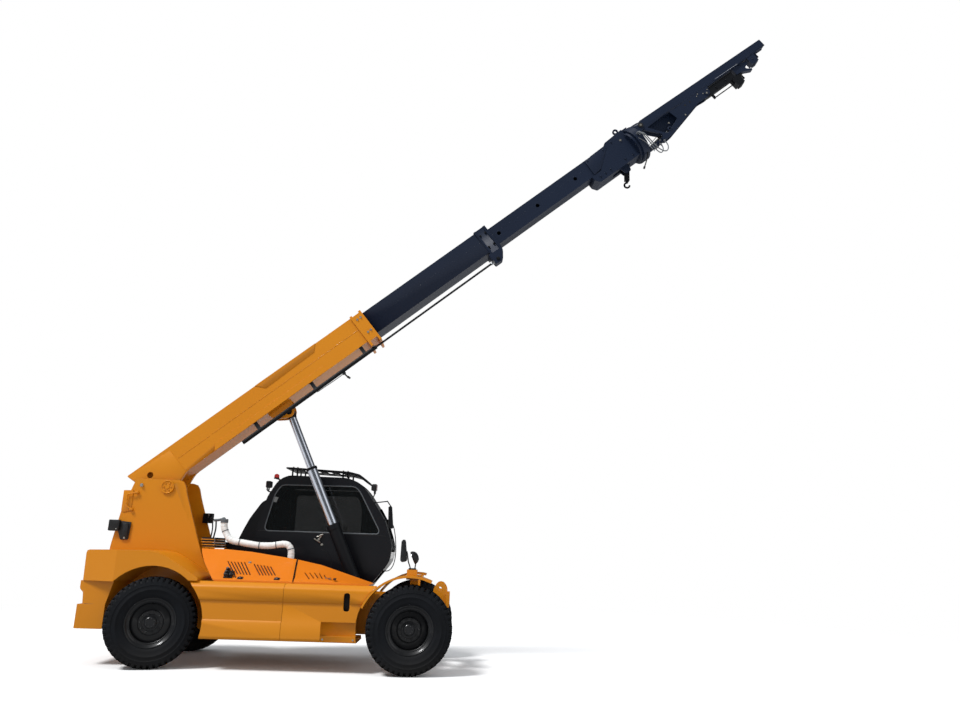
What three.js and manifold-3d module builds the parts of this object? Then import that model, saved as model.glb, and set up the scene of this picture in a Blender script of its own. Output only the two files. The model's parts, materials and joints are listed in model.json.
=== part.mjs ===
// Heavy telescopic handler with a clamping jib on its boom head.
//
// Millimetres, +Z up, +X forward, +Y to the machine's left.  The machine is laid out from the
// rear axle (x = 0) and the ground (z = 0); the whole group is then moved back so that the
// origin lies on the ground under the middle of its outline.  The boom and all it carries are
// laid out along the boom (x) and square to it (z) from the boom pivot, in a turned group.
import * as THREE from "three";
import { mergeVertices } from "three/addons/utils/BufferGeometryUtils.js";
import Module from "manifold-3d";

const wasm = await Module();
wasm.setup();

// ---------------------------------------------------------------- driving dimensions
const wheelbase = 3640;
const originAheadOfRearAxle = 4344;
const tyreRadius = 625;
const tyreWidth = 380;
const wheelCentre = 980; // from the centre plane to the middle of a tyre
const kingpinOffset = 900; // from the centre plane to a kingpin
const wheelSides = 28;
const roundSides = 16;
const rimRadius = 305;
const rearSteer = 17; // degrees that the rear wheels point to the left at rest
const frontSteer = 7;
const wheelRoom = 125; // between a tyre and the arch over it
const archRadius = tyreRadius + wheelRoom;
const hubHeight = tyreRadius * Math.cos(Math.PI / wheelSides);
const archTop = hubHeight + archRadius;
const rearAxle = -50;
const rearArch = { x: rearAxle, radius: archRadius + 25 };

const gap = 0.3; // between pieces that are bolted or welded face to face
const runningGap = 0.5; // round a pin or beside a wear pad
const plate = 40; // frame and tower plates
const frameHalfWidth = 350;
const frameTop = 1150;
const bodyHalfWidth = 1100; // outside of the side covers
const coverBottom = 420;

const boomAngle = 39.6;
const boomPivot = { x: -280, z: 2570 };
const boomWidth = 460;
const boomFloor = 65; // underside of the base section above the pivot line
const boomTop = 570;
const baseEnd = 4100;
const baseTail = -450;
const baseWall = 14;
const midWidth = 380;
const midFloor = 105;
const midTop = 540;
const midStart = 2600;
const midEnd = 6750;
const midWall = 12;
const innerWidth = 300;
const innerFloor = 140;
const innerTop = 480;
const innerStart = 5200;
const innerEnd = 9130;
const innerWall = 10;
const headEnd = 9940;
const slewHeight = 205; // slewing axis above the pivot line
const slewRadius = 345;
const jibEnd = 13415;
const jibTop = 500;
const jibFloor = 300;
const jibWidth = 150;

const liftFoot = { x: 2920, z: 750 };
const liftEye = { along: 2162, up: -93 };
const liftBarrelRadius = 100;
const liftStageRadius = 82;
const liftRodRadius = 65;
const liftBarrelLength = 1480;
const liftStageStart = 840;
const liftStageEnd = 2470;
const liftRodStart = 1720;
const pinRadius = 45;

const cabInner = 360; // cab side that faces the boom
const cabOuter = 1160;
const cabWall = 50;
const glassThickness = 8;
const cabFloor = 750;
const cabRoofTop = 2880;

// ---------------------------------------------------------------- finishes
const finish = (color, roughness, metalness = 0) =>
  new THREE.MeshStandardMaterial({ color, roughness, metalness });
const yellow = finish(0xe8992a, 0.4);
const navy = finish(0x1a2740, 0.45);
const black = finish(0x15171b, 0.5);
const rubber = finish(0x17191d, 0.85);
const steel = finish(0xb9bec4, 0.25, 1);
const chrome = finish(0xd8dce0, 0.12, 1);
const glass = finish(0x2c3438, 0.08);
const redLens = finish(0xc81418, 0.3);
const seatCloth = finish(0x6e1f1f, 0.8);
const whiteWrap = finish(0xe9e9e6, 0.7);

// ---------------------------------------------------------------- solids
const radians = (degrees) => THREE.MathUtils.degToRad(degrees);

// A closed manifold solid from any closed geometry.
function solid(geometry) {
  const bare = geometry.clone();
  bare.deleteAttribute("normal");
  bare.deleteAttribute("uv");
  const merged = mergeVertices(bare, 1e-3);
  const corners = [];
  const index = merged.index.array;
  for (let i = 0; i < index.length; i += 3) {
    const [a, b, c] = [index[i], index[i + 1], index[i + 2]];
    if (a !== b && b !== c && c !== a) corners.push(a, b, c);
  }
  return new wasm.Manifold(new wasm.Mesh({
    numProp: 3,
    vertProperties: new Float32Array(merged.attributes.position.array),
    triVerts: new Uint32Array(corners),
  }));
}

function geometryOf(manifold) {
  const mesh = manifold.getMesh();
  const geometry = new THREE.BufferGeometry();
  geometry.setAttribute("position", new THREE.BufferAttribute(new Float32Array(mesh.vertProperties), 3));
  geometry.setIndex(new THREE.BufferAttribute(new Uint32Array(mesh.triVerts), 1));
  geometry.computeVertexNormals();
  return geometry;
}

const join = (first, ...others) => others.reduce((sum, next) => sum.add(next), first);
const cut = (first, ...others) => others.reduce((rest, next) => rest.subtract(next), first);
const common = (first, other) => first.intersect(other);

function block(x0, x1, y0, y1, z0, z1) {
  const geometry = new THREE.BoxGeometry(Math.abs(x1 - x0), Math.abs(y1 - y0), Math.abs(z1 - z0));
  geometry.translate((x0 + x1) / 2, (y0 + y1) / 2, (z0 + z1) / 2);
  return solid(geometry);
}

// A round bar from one point to another.
function bar(from, to, radius, sides = roundSides, endRadius = radius) {
  const start = new THREE.Vector3(...from);
  const end = new THREE.Vector3(...to);
  const along = end.clone().sub(start);
  const geometry = new THREE.CylinderGeometry(endRadius, radius, along.length(), sides);
  const turn = new THREE.Quaternion().setFromUnitVectors(new THREE.Vector3(0, 1, 0), along.clone().normalize());
  geometry.applyQuaternion(turn);
  geometry.translate(...start.add(end).multiplyScalar(0.5).toArray());
  return solid(geometry);
}

// A bar across the machine, centred at x and z.
const crossBar = (x, z, radius, y0, y1, sides = roundSides) => bar([x, y0, z], [x, y1, z], radius, sides);

// Bore that a pin of this radius turns in, though both have flat sides.
const boreRadius = (radius, sides = roundSides) => (radius + runningGap) / Math.cos(Math.PI / sides);

// A closed outline whose corners are rounded; each point is [x, y] or [x, y, radius].
function outline(points) {
  const shape = new THREE.Shape();
  const count = points.length;
  points.forEach((point, i) => {
    const here = new THREE.Vector2(point[0], point[1]);
    const radius = point[2] ?? 0;
    const before = new THREE.Vector2(...points[(i + count - 1) % count].slice(0, 2)).sub(here);
    const after = new THREE.Vector2(...points[(i + 1) % count].slice(0, 2)).sub(here);
    const enter = here.clone().add(before.setLength(Math.min(radius, before.length() / 2)));
    const leave = here.clone().add(after.setLength(Math.min(radius, after.length() / 2)));
    if (i === 0) shape.moveTo(enter.x, enter.y);
    else shape.lineTo(enter.x, enter.y);
    if (radius > 0) shape.quadraticCurveTo(here.x, here.y, leave.x, leave.y);
  });
  shape.closePath();
  return shape;
}

function extrude(shape, depth, curveSegments) {
  return new THREE.ExtrudeGeometry(shape, { depth, bevelEnabled: false, curveSegments });
}

// A plate whose outline is given in x and z, from y0 to y1.
function sidePlate(points, y0, y1, curveSegments = 2) {
  const geometry = extrude(outline(points), Math.abs(y1 - y0), curveSegments);
  geometry.rotateX(Math.PI / 2);
  geometry.translate(0, Math.max(y0, y1), 0);
  return solid(geometry);
}

// A bar whose section is given in y and z, from x0 to x1.
function longBar(points, x0, x1, curveSegments = 2) {
  const geometry = extrude(outline(points), x1 - x0, curveSegments);
  geometry.applyMatrix4(new THREE.Matrix4().set(0, 0, 1, x0, 1, 0, 0, 0, 0, 1, 0, 0, 0, 0, 0, 1));
  return solid(geometry);
}

// A flat piece whose outline is given in x and y, from z0 to z1.
function flatPlate(points, z0, z1, curveSegments = 2) {
  const geometry = extrude(outline(points), z1 - z0, curveSegments);
  geometry.translate(0, 0, z0);
  return solid(geometry);
}

// A turned piece about the Y axis; the profile is [radius, y] points that close on themselves.
function turned(profile, sides) {
  const points = [...profile, profile[0]].map(([radius, height]) => new THREE.Vector2(radius, height));
  return solid(new THREE.LatheGeometry(points, sides, Math.PI / sides));
}

// A round hose or pipe along a smooth curve through points.
function pipe(points, radius, sides, steps) {
  const curve = new THREE.CatmullRomCurve3(points.map((point) => new THREE.Vector3(...point)), false, "centripetal");
  const section = new THREE.Shape();
  section.absarc(0, 0, radius, 0, Math.PI * 2);
  const geometry = new THREE.ExtrudeGeometry(section, {
    steps, bevelEnabled: false, extrudePath: curve, curveSegments: sides / 2,
  });
  return solid(geometry);
}

const machine = new THREE.Group();
machine.position.x = -originAheadOfRearAxle;
const boomFrame = new THREE.Group();
boomFrame.position.set(boomPivot.x, 0, boomPivot.z);
boomFrame.rotation.y = -radians(boomAngle);
machine.add(boomFrame);

function piece(parent, name, manifold, material) {
  const mesh = new THREE.Mesh(geometryOf(manifold), material);
  mesh.name = name;
  parent.add(mesh);
  return mesh;
}

// ---------------------------------------------------------------- chassis frame
const railInner = frameHalfWidth - plate;

const noseEnd = wheelbase + 520;

function chassisFrame() {
  const rail = [
    [-1040, 800, 30], [-1040, frameTop, 20], [wheelbase - 1190, frameTop, 60], [wheelbase - 590, 1060, 60],
    [wheelbase + 440, 1060, 60], [noseEnd, 960, 40], [noseEnd, 560, 60], [wheelbase + 320, 520, 40],
    [wheelbase + 260, 800, 60], [wheelbase - 260, 800, 80], [wheelbase - 440, 470, 60], [440, 470, 60],
    [260, 800, 80],
  ];
  const sides = [-1, 1].map((side) => sidePlate(rail, side * railInner, side * frameHalfWidth));
  const between = railInner + 1;
  const belly = block(520, wheelbase - 520, -between, between, 480, 500);
  const rear = block(-1040, -1000, -between, between, 820, 1130);
  const nose = block(noseEnd - 80, noseEnd - 40, -between, between, 560, 1020);
  const ties = [[-600, 1000], [700, 900], [1500, 900]].map(([x, z]) => crossBar(x, z, 60, -between, between, 16));
  const footInner = liftBarrelRadius + 12;
  const footOuter = footInner + 30;
  const footTop = liftFoot.z + 130;
  const footPlates = [-1, 1].map((side) => sidePlate([
    [liftFoot.x - 140, 499], [liftFoot.x - 60, footTop, 40], [liftFoot.x + 60, footTop, 40], [liftFoot.x + 140, 499],
  ], side * footInner, side * footOuter));
  const footPin = crossBar(liftFoot.x, liftFoot.z, pinRadius, -footOuter - 1, footOuter + 1);
  const noseLugs = [-1, 1].flatMap((side) => [
    cut(
      sidePlate([
        [noseEnd - 200, 950], [noseEnd - 200, 1160, 40], [noseEnd - 150, 1250, 60], [noseEnd - 50, 1250, 60],
        [noseEnd + 10, 1150, 40], [noseEnd + 10, 900],
      ], side * (frameHalfWidth - 1), side * (frameHalfWidth + 70)),
      crossBar(noseEnd - 100, 1165, 32, side * (frameHalfWidth - 50), side * (frameHalfWidth + 110), 16),
    ),
    block(noseEnd - 2, noseEnd + 50, side * (frameHalfWidth - 40), side * (frameHalfWidth + 110), 900, 1090),
  ]);
  const axleSeats = [rearAxle, wheelbase].flatMap((x) => [-1, 1].map((side) => block(
    x - 110, x + 110, side * (railInner - 90), side * (frameHalfWidth + 20), hubHeight + 120, 830,
  )));
  return join(...sides, belly, rear, nose, ...ties, ...footPlates, footPin, ...noseLugs, ...axleSeats);
}
piece(machine, "chassis_frame", chassisFrame(), yellow);

// ---------------------------------------------------------------- boom tower
function boomTower() {
  const sheet = [
    [-1040, frameTop + gap], [-1040, 1640, 60], [-949, 2184, 60], [-834, 2530, 60], [-783, 2684, 60],
    [-30, 2684, 90], [40, 2440, 60], [322, 1673, 80], [430, 1420, 80], [620, frameTop + gap],
  ];
  const bosses = [];
  const sheets = [-1, 1].map((side) => {
    bosses.push(crossBar(boomPivot.x, boomPivot.z, 100, side * railInner, side * (frameHalfWidth + 12)));
    return sidePlate(sheet, side * railInner, side * frameHalfWidth);
  });
  const pin = crossBar(boomPivot.x, boomPivot.z, pinRadius + 15, -railInner - 5, railInner + 5);
  const between = railInner + 1;
  const back = sidePlate([[-1030, 1160], [-1030, 1640], [-960, 2080], [-930, 2080], [-990, 1640], [-990, 1160]],
    -between, between);
  const front = sidePlate([[330, 1180], [330, 1560], [360, 1560], [360, 1180]], -between, between);
  const tube = crossBar(-150, 1750, 90, -between, between);
  return join(...sheets, ...bosses, pin, back, front, tube);
}
piece(machine, "boom_tower", boomTower(), yellow);

// ---------------------------------------------------------------- counterweight and fenders
const weightHalfWidth = bodyHalfWidth - 150;
const fenderBottom = 1160;

function counterweight() {
  const front = rearArch.x + 72 - rearArch.radius + 30;
  const upper = sidePlate([[-1116, fenderBottom - gap], [-1116, 1040, 30], [-1063, 1001, 20], [-1048, 840],
    [front, 840], [front + 80, fenderBottom - gap]], -weightHalfWidth, weightHalfWidth);
  const lower = sidePlate([[-1170, 830, 50], [-1170, 500, 60], [front, 500, 20], [front, 845]],
    -weightHalfWidth, weightHalfWidth);
  const corners = [-1, 1].map((side) => flatPlate([[-1180, side * (weightHalfWidth - 310)],
    [-1121, side * (weightHalfWidth + 1)], [-1180, side * (weightHalfWidth + 1)]], 490, 900));
  const clearance = block(-1042, -600, -frameHalfWidth - gap, frameHalfWidth + gap, 799, 1200);
  return cut(join(cut(lower, ...corners), upper), clearance);
}
piece(machine, "counterweight", counterweight(), yellow);

const wheelArch = (x, radius, side) =>
  crossBar(x, hubHeight, radius, side * (frameHalfWidth - 50), side * (bodyHalfWidth + 200), 48);

function rearFender(side) {
  const outer = bodyHalfWidth - 20;
  const wall = 40;
  const body = sidePlate([[-1082, fenderBottom], [-1097, 1592, 50], [-20, 1608, 160], [600, 1240, 60],
    [585, 1205 + gap], [300, 1205 + gap], [-560, fenderBottom]], side * (frameHalfWidth + gap), side * outer);
  // The rear corner is beveled in plan, and the hollow inside it keeps the same wall.
  const bevel = (inset) => flatPlate([
    [-1200, side * (outer + 90)], [-1200, side * (outer - 147 - inset)], [-600, side * (outer + 2 - inset)],
    [-600, side * (outer + 90)],
  ], 1100, 1700);
  const inside = cut(
    sidePlate([[-1055, 1200], [-1055, 1552], [-40, 1563], [420, 1250], [300, 1200]],
      side * (frameHalfWidth + wall), side * (outer - wall)),
    crossBar(rearArch.x, hubHeight, rearArch.radius + 30, side * frameHalfWidth, side * (outer + 120), 48),
    bevel(wall),
  );
  const lookIn = block(-960, -780, side * (frameHalfWidth + 150), side * (outer - 180), 1100, 1260);
  return cut(body, wheelArch(rearArch.x, rearArch.radius, side), bevel(0), inside, lookIn);
}
piece(machine, "rear_fender_right", rearFender(-1), yellow);
piece(machine, "rear_fender_left", rearFender(1), yellow);

// ---------------------------------------------------------------- side covers and hoods, right side
const coverSplit = 1842;
const coverEnd = wheelbase - 490;
const coverStart = 440;

function sideCover(x0, x1) {
  const outer = bodyHalfWidth;
  return longBar([[-430, coverBottom], [-outer, coverBottom, 40], [-outer, 660], [-outer + 22, 690],
    [-outer + 22, 945], [-outer, 960], [-outer, 1140, 20], [-outer + 70, 1205, 10], [-outer + 150, 1205],
    [-outer + 150, 1175], [-outer + 90, 1175], [-outer + 50, 1120], [-outer + 50, coverBottom + 50, 20],
    [-430, coverBottom + 50]], x0, x1);
}

const rearSideCover = () => cut(sideCover(coverStart, coverSplit - 4), wheelArch(rearArch.x, rearArch.radius, -1));

function frontSideCover() {
  const outside = -bodyHalfWidth - 10;
  const backing = block(2380, coverEnd, -bodyHalfWidth + 45, -bodyHalfWidth + 115, coverBottom + 20, 740);
  const stepRecess = block(2404, coverEnd + 1, outside, -bodyHalfWidth + 80, 505, 695);
  const sillInset = block(2404, coverEnd + 1, outside, -bodyHalfWidth + 18, coverBottom - 1, 506);
  const slot = sidePlate([[2702, 845, 44], [2702, 1100, 44], [2792, 1100, 44], [2792, 845, 44]],
    outside, -bodyHalfWidth + 60, 5);
  return cut(join(sideCover(coverSplit, coverEnd), backing), stepRecess, sillInset, slot,
    wheelArch(wheelbase, archRadius, -1));
}
piece(machine, "side_cover_rear", rearSideCover(), yellow);
piece(machine, "side_cover_front", frontSideCover(), yellow);

// Height of the hood's inner edge along the machine.
const hoodLine = [[300, 1656], [756, 1652], [1124, 1628], [1839, 1536], [2235, 1461], [wheelbase - 485, 1183]];
function hoodHeight(x) {
  const i = Math.min(hoodLine.findIndex(([end], n) => n > 0 && x <= end), hoodLine.length - 1);
  const [[x0, z0], [x1, z1]] = [hoodLine[i - 1], hoodLine[i]];
  return z0 + (z1 - z0) * (x - x0) / (x1 - x0);
}

// A body through several rings of points, closed at both ends by flat convex ends.
function loft(rings) {
  const size = rings[0].length;
  const positions = rings.flat(2);
  const index = [];
  for (let r = 0; r + 1 < rings.length; r += 1) {
    for (let i = 0; i < size; i += 1) {
      const a = r * size + i;
      const b = r * size + (i + 1) % size;
      index.push(a, b, a + size, b, b + size, a + size);
    }
  }
  const last = (rings.length - 1) * size;
  for (let i = 1; i + 1 < size; i += 1) {
    index.push(0, i + 1, i);
    index.push(last, last + i, last + i + 1);
  }
  const geometry = new THREE.BufferGeometry();
  geometry.setAttribute("position", new THREE.Float32BufferAttribute(positions, 3));
  geometry.setIndex(index);
  return solid(geometry);
}

const hoodSeat = 1205 + gap;
const hoodInner = -frameHalfWidth - 20;
const hoodOuter = -bodyHalfWidth + 90;

function hoodWedge(stations, inset) {
  return loft(stations.map((x) => {
    const top = hoodHeight(x) - inset;
    return [
      [x, hoodOuter + inset, hoodSeat - (inset > 0 ? 1 : 0)],
      [x, hoodInner - inset, hoodSeat - (inset > 0 ? 1 : 0)],
      [x, hoodInner - inset, top],
      [x, hoodInner - 60, top],
      [x, hoodOuter + 30 + inset, Math.min(hoodSeat + 45, top)],
      [x, hoodOuter + inset, Math.min(hoodSeat + 25, top)],
    ];
  }));
}

// Space beyond the hood's rear edge, which slopes down and forward past the tower.
const behindHood = (inset) => sidePlate([[100, 1100], [920 + inset, 1100], [493 + inset, 1494, 150],
  [338 + inset, 1730], [100, 1730]], -bodyHalfWidth, -frameHalfWidth, 6);

// Space ahead of (or, from the other side, behind) the seam between the hoods, which leans in plan.
const seamInner = 1846;
const seamOuter = 1936;
const pastSeam = (x, shift) => flatPlate([[x, -frameHalfWidth], [seamInner + shift, -frameHalfWidth],
  [seamOuter + shift, hoodOuter - 1], [x, hoodOuter - 1]], hoodSeat - 5, 1750);

function hoodShell(x0, x1, ends) {
  const wall = 24;
  const bends = hoodLine.map(([x]) => x).filter((x) => x > x0 + wall && x < x1 - wall);
  const outer = cut(hoodWedge([x0, ...bends, x1], 0), ...ends(0));
  const inner = cut(hoodWedge([x0 + wall, ...bends, x1 - 3 * wall], wall), ...ends(wall));
  return cut(outer, inner);
}
const seamGap = 8;
piece(machine, "front_hood", hoodShell(coverSplit - 40, wheelbase - 600,
  (inset) => [pastSeam(coverSplit - 100, seamGap + inset)]), yellow);
piece(machine, "engine_hood", hoodShell(320, coverSplit + 160,
  (inset) => [behindHood(inset), pastSeam(coverSplit + 300, -inset)]), yellow);

piece(machine, "engine_block", block(900, 2350, -bodyHalfWidth + 220, -450, coverBottom + 50 + gap, 1150), black);

// ---------------------------------------------------------------- tank and step, left side
function leftTank() {
  const outer = bodyHalfWidth - 10;
  const shell = block(760, 1900, 430, outer, coverBottom, cabFloor - gap);
  const stepFrame = block(1899, 2700, outer - 190, outer, coverBottom, coverBottom + 40);
  const riser = block(2660, 2700, outer - 190, outer, coverBottom, cabFloor - gap);
  const bracket = block(1000, 1600, frameHalfWidth + gap, 431, 500, 640);
  return join(shell, stepFrame, riser, bracket);
}
piece(machine, "left_tank", leftTank(), yellow);

// ---------------------------------------------------------------- axles, knuckles and wheels
const forkGap = 110; // half height between the fork arms
const spindleRadius = 55;

function axle(x) {
  const beam = crossBar(x, hubHeight, 95, -760, 760, 20);
  const casing = turned([[1, -190], [120, -190], [200, -90], [200, 90], [120, 190], [1, 190]], 20);
  const casingPlaced = casing.translate([x, 0, hubHeight]);
  const forks = [-1, 1].flatMap((side) => [
    block(x - 70, x + 70, side * 720, side * 765, hubHeight - 155, hubHeight + 155),
    block(x - 70, x + 70, side * 764, side * (kingpinOffset + 45), hubHeight + forkGap + 1, hubHeight + 155),
    block(x - 70, x + 70, side * 764, side * (kingpinOffset + 45), hubHeight - 155, hubHeight - forkGap - 1),
  ]);
  const pads = [-1, 1].map((side) => block(x - 100, x + 100, side * 230, side * 350, hubHeight, hubHeight + 120 - gap));
  return join(beam, casingPlaced, ...forks, ...pads);
}
piece(machine, "rear_axle", axle(rearAxle), black);
piece(machine, "front_axle", axle(wheelbase), black);

// Profile of a tyre: [radius, distance outboard of its middle].
const tyreProfile = [
  [rimRadius + 6, -tyreWidth / 2 + 40], [rimRadius + 125, -tyreWidth / 2], [tyreRadius - 55, -tyreWidth / 2 + 8],
  [tyreRadius, -tyreWidth / 2 + 60], [tyreRadius, tyreWidth / 2 - 60],
  [tyreRadius - 55, tyreWidth / 2 - 8], [rimRadius + 125, tyreWidth / 2], [rimRadius + 6, tyreWidth / 2 - 40],
];

// A rim with its dished disc; dish is the disc's distance outboard of the tyre's middle.
function rim(dish) {
  const inner = rimRadius - 16;
  const bore = boreRadius(spindleRadius);
  const edge = tyreWidth / 2 - 32;
  return turned([
    [rimRadius + 5, -edge], [rimRadius + 5, edge - 6], [rimRadius + 18, edge + 8], [inner, edge + 8],
    [inner, dish + 24], [150, dish + 34], [110, dish + 60], [1, dish + 60], [1, dish + 44], [bore, dish + 44],
    [bore, dish - 40], [110, dish - 40], [130, dish + 8], [inner, dish - 4], [inner, -edge],
  ], wheelSides);
}

function wheelSet(x, side, steer, dish, suffix) {
  const steering = new THREE.Group();
  steering.position.set(x, side * kingpinOffset, hubHeight);
  steering.rotation.z = radians(steer) + (side < 0 ? Math.PI : 0);
  machine.add(steering);
  const offset = wheelCentre - kingpinOffset;
  const hubSide = offset + dish - 40;
  const swivel = block(-75, 75, -75, hubSide - 6, -forkGap + 6, forkGap - 6);
  const pinEnd = forkGap + 1 - runningGap;
  const kingpin = bar([0, 0, -pinEnd], [0, 0, pinEnd], 34);
  const spindle = bar([0, 50, 0], [0, offset + dish + 43, 0], spindleRadius, 24);
  piece(steering, `knuckle_${suffix}`, join(swivel, kingpin, spindle), black);
  const wheel = new THREE.Group();
  wheel.position.y = offset;
  steering.add(wheel);
  piece(wheel, `tyre_${suffix}`, turned(tyreProfile, wheelSides), rubber);
  piece(wheel, `rim_${suffix}`, rim(dish), black);
}
wheelSet(rearAxle, -1, rearSteer, 70, "rear_right");
wheelSet(rearAxle, 1, rearSteer, 70, "rear_left");
wheelSet(wheelbase, -1, frontSteer, 20, "front_right");
wheelSet(wheelbase, 1, frontSteer, 20, "front_left");

// ---------------------------------------------------------------- front fenders
const mirrorStand = bodyHalfWidth - 150; // from the centre plane to the mirrors' stand
const boxTop = archTop + 79;

function frontFender(side) {
  const outer = side * (bodyHalfWidth + 40);
  const inner = side * (frameHalfWidth + 420);
  const ring = cut(
    crossBar(wheelbase, hubHeight, archRadius - 5, inner, outer, 48),
    crossBar(wheelbase, hubHeight, archRadius - 35, inner - side, outer + side, 48),
  );
  const front = side < 0 ? 560 : 260;
  const sector = sidePlate([
    [wheelbase, hubHeight], [wheelbase - 1000, hubHeight + 420], [wheelbase - 1000, hubHeight + 1200],
    [wheelbase + front, hubHeight + 1200],
  ], inner - side * 5, outer + side * 5);
  const strip = common(ring, sector);
  const bridgeTop = archTop - 41;
  const bridge = block(wheelbase - 80, wheelbase + 120, side * (frameHalfWidth + gap), side * (frameHalfWidth + 430),
    bridgeTop - 30, bridgeTop);
  const stay = block(wheelbase - 40, wheelbase + 80, side * (frameHalfWidth + gap), side * (frameHalfWidth + 40),
    1000, bridgeTop - 29);
  const fender = join(strip, bridge, stay);
  if (side > 0) return fender;
  return join(fender, block(wheelbase - 60, wheelbase + 90, -mirrorStand - 70, -mirrorStand + 70, archTop - 21, boxTop));
}
piece(machine, "front_fender_right", frontFender(-1), yellow);
piece(machine, "front_fender_left", frontFender(1), yellow);

function fenderMirrors() {
  const foot = block(-40, 70, -50, 50, gap, 20);
  const tallStem = bar([-15, 0, 15], [-60, 0, 110], 10, 8);
  const roundStem = bar([50, 0, 15], [60, 0, 110], 10, 8);
  const tall = bar([-120, 0, 250], [-95, 0, 255], 90, 16);
  const tallBody = sidePlate([[-170, 90, 30], [-160, 430, 40], [-100, 430, 40], [-60, 110, 30]], -50, 50);
  const round = bar([10, 0, 160], [100, 0, 200], 95, 20, 70);
  const link = block(-80, -40, -10, 10, 95, 125);
  return join(foot, tallStem, roundStem, tallBody, tall, round, link).translate([wheelbase, -mirrorStand, boxTop]);
}
piece(machine, "fender_mirrors", fenderMirrors(), black);

// ---------------------------------------------------------------- cab
const cabSide = [
  [950, cabFloor, 40], [950, 1820, 60], [1010, 2150, 40], [1110, 2520, 60], [1270, 2800, 80], [1430, cabRoofTop, 60],
  [2400, cabRoofTop - 10, 60], [2600, 2810, 80], [2740, 2680, 60], [2900, 2460, 60], [3090, 2180, 60],
  [3180, 1930, 60], [3225, 1780, 60], [3205, 1530, 80], [2940, 1190, 80], [2760, 950, 60], [2720, cabFloor, 40],
];

// The outline moved inwards by an amount all round, or outwards if it is negative.
function shrink(points, amount) {
  const count = points.length;
  const corner = (i) => new THREE.Vector2(points[(i + count) % count][0], points[(i + count) % count][1]);
  const twiceArea = points.reduce((sum, _, i) => sum + corner(i).cross(corner(i + 1)), 0);
  const inward = (from, to) => {
    const run = to.clone().sub(from).normalize();
    return new THREE.Vector2(-run.y, run.x).multiplyScalar(Math.sign(twiceArea));
  };
  return points.map((point, i) => {
    const before = inward(corner(i - 1), corner(i));
    const after = inward(corner(i), corner(i + 1));
    const move = before.clone().add(after).multiplyScalar(amount / (1 + before.dot(after)));
    return [point[0] + move.x, point[1] + move.y, Math.max((point[2] ?? 0) - amount, 0)];
  });
}

const sideWindow = [[1110, 2010, 40], [1230, 2560, 60], [1330, 2720, 60], [2560, 2730, 60], [2650, 2640, 50],
  [3010, 2010, 50], [2980, 1960, 30], [1150, 1960, 30]];
const doorOpening = [[1340, cabFloor + 60, 40], [1340, 2700, 80], [2540, 2710, 60], [2620, 2600, 60], [2700, 2400, 40],
  [2700, 1180, 60], [2560, cabFloor + 60, 60]];

// Cable that bows out in front of the cab between two glands.
const cableY = cabInner + 35;
const cableRadius = 7;
const cableRoute = [[3110, 2200], [3137, 2200], [3166, 2191], [3195, 2165], [3221, 2120], [3245, 2050], [3265, 1960],
  [3280, 1860], [3289, 1760], [3291, 1660], [3284, 1570], [3266, 1492], [3237, 1432], [3200, 1395], [3165, 1382],
  [3135, 1380], [3106, 1380]].map(([x, z]) => [x, cableY, z]);

const hingeX = 1322;
const hingeY = cabOuter + 16;
const doorHinges = [1120, 2300];
const frontWindowZone = [[2690, 2640], [2800, 2900], [3400, 2500], [3400, 1600], [3090, 1560], [2960, 2200]];

function cabShell() {
  const body = sidePlate(cabSide, cabInner, cabOuter);
  const room = sidePlate(shrink(cabSide, cabWall), cabInner + cabWall, cabOuter - cabWall);
  const rightWindow = sidePlate(sideWindow, cabInner - 10, cabInner + cabWall + 10);
  const door = sidePlate(doorOpening, cabOuter - cabWall - 10, cabOuter + 10);
  const frontWindow = sidePlate(frontWindowZone, cabInner + 70, cabOuter - 70);
  const rearWindow = sidePlate([[1100, 1900], [800, 1900], [800, 2700], [1180, 2560]], cabInner + 80, cabOuter - 80);
  const lowerFront = sidePlate([[2990, 1330], [3300, 1500], [3300, 1100], [2900, 1180]], cabInner + 90, cabOuter - 90);
  const middle = (cabInner + cabOuter) / 2;
  const pedestal = join(
    block(1500, 1900, middle - 180, middle + 180, cabFloor + cabWall - 1, 1180),
    block(1460, 1960, middle - 230, middle + 230, 1179, 1210),
  );
  const hinges = doorHinges.map((z) => join(
    bar([hingeX, hingeY, z + 40 + runningGap], [hingeX, hingeY, z + 90], 14, 12),
    block(hingeX - 60, hingeX, cabOuter - 1, hingeY + 8, z + 40 + runningGap, z + 90),
  ));
  const glands = [cableRoute[0], cableRoute[cableRoute.length - 1]].map(([x, y, z]) =>
    bar([x - 60, y, z], [x - gap, y, z], 12, 10));
  const walls = cut(body, room, rightWindow, door, frontWindow, rearWindow, lowerFront);
  const rearBox = block(480, 951, cabInner + 40, cabOuter - 60, 1560, 1760);
  return join(walls, pedestal, rearBox, ...hinges, ...glands);
}
piece(machine, "cab_shell", cabShell(), black);

function pane(points, y) {
  return sidePlate(shrink(points, gap), y - glassThickness / 2, y + glassThickness / 2);
}
piece(machine, "cab_side_glass", pane(sideWindow, cabInner + 25), glass);

function windscreen() {
  const outer = sidePlate(cabSide, cabInner + 70 + gap, cabOuter - 70 - gap);
  const inner = sidePlate(shrink(cabSide, glassThickness + 4), cabInner + 60, cabOuter - 60);
  const zone = sidePlate(shrink(frontWindowZone, gap), cabInner + 60, cabOuter - 60);
  return common(cut(outer, inner), zone);
}
piece(machine, "windscreen", windscreen(), glass);

piece(machine, "cab_cable", pipe(cableRoute, cableRadius, 8, 30), black);

// The cab's outside with a hair of room, which whatever stands on the cab is cut to.
const cabSeat = sidePlate(shrink(cabSide, -gap), cabInner - gap, cabOuter + gap);

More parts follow.
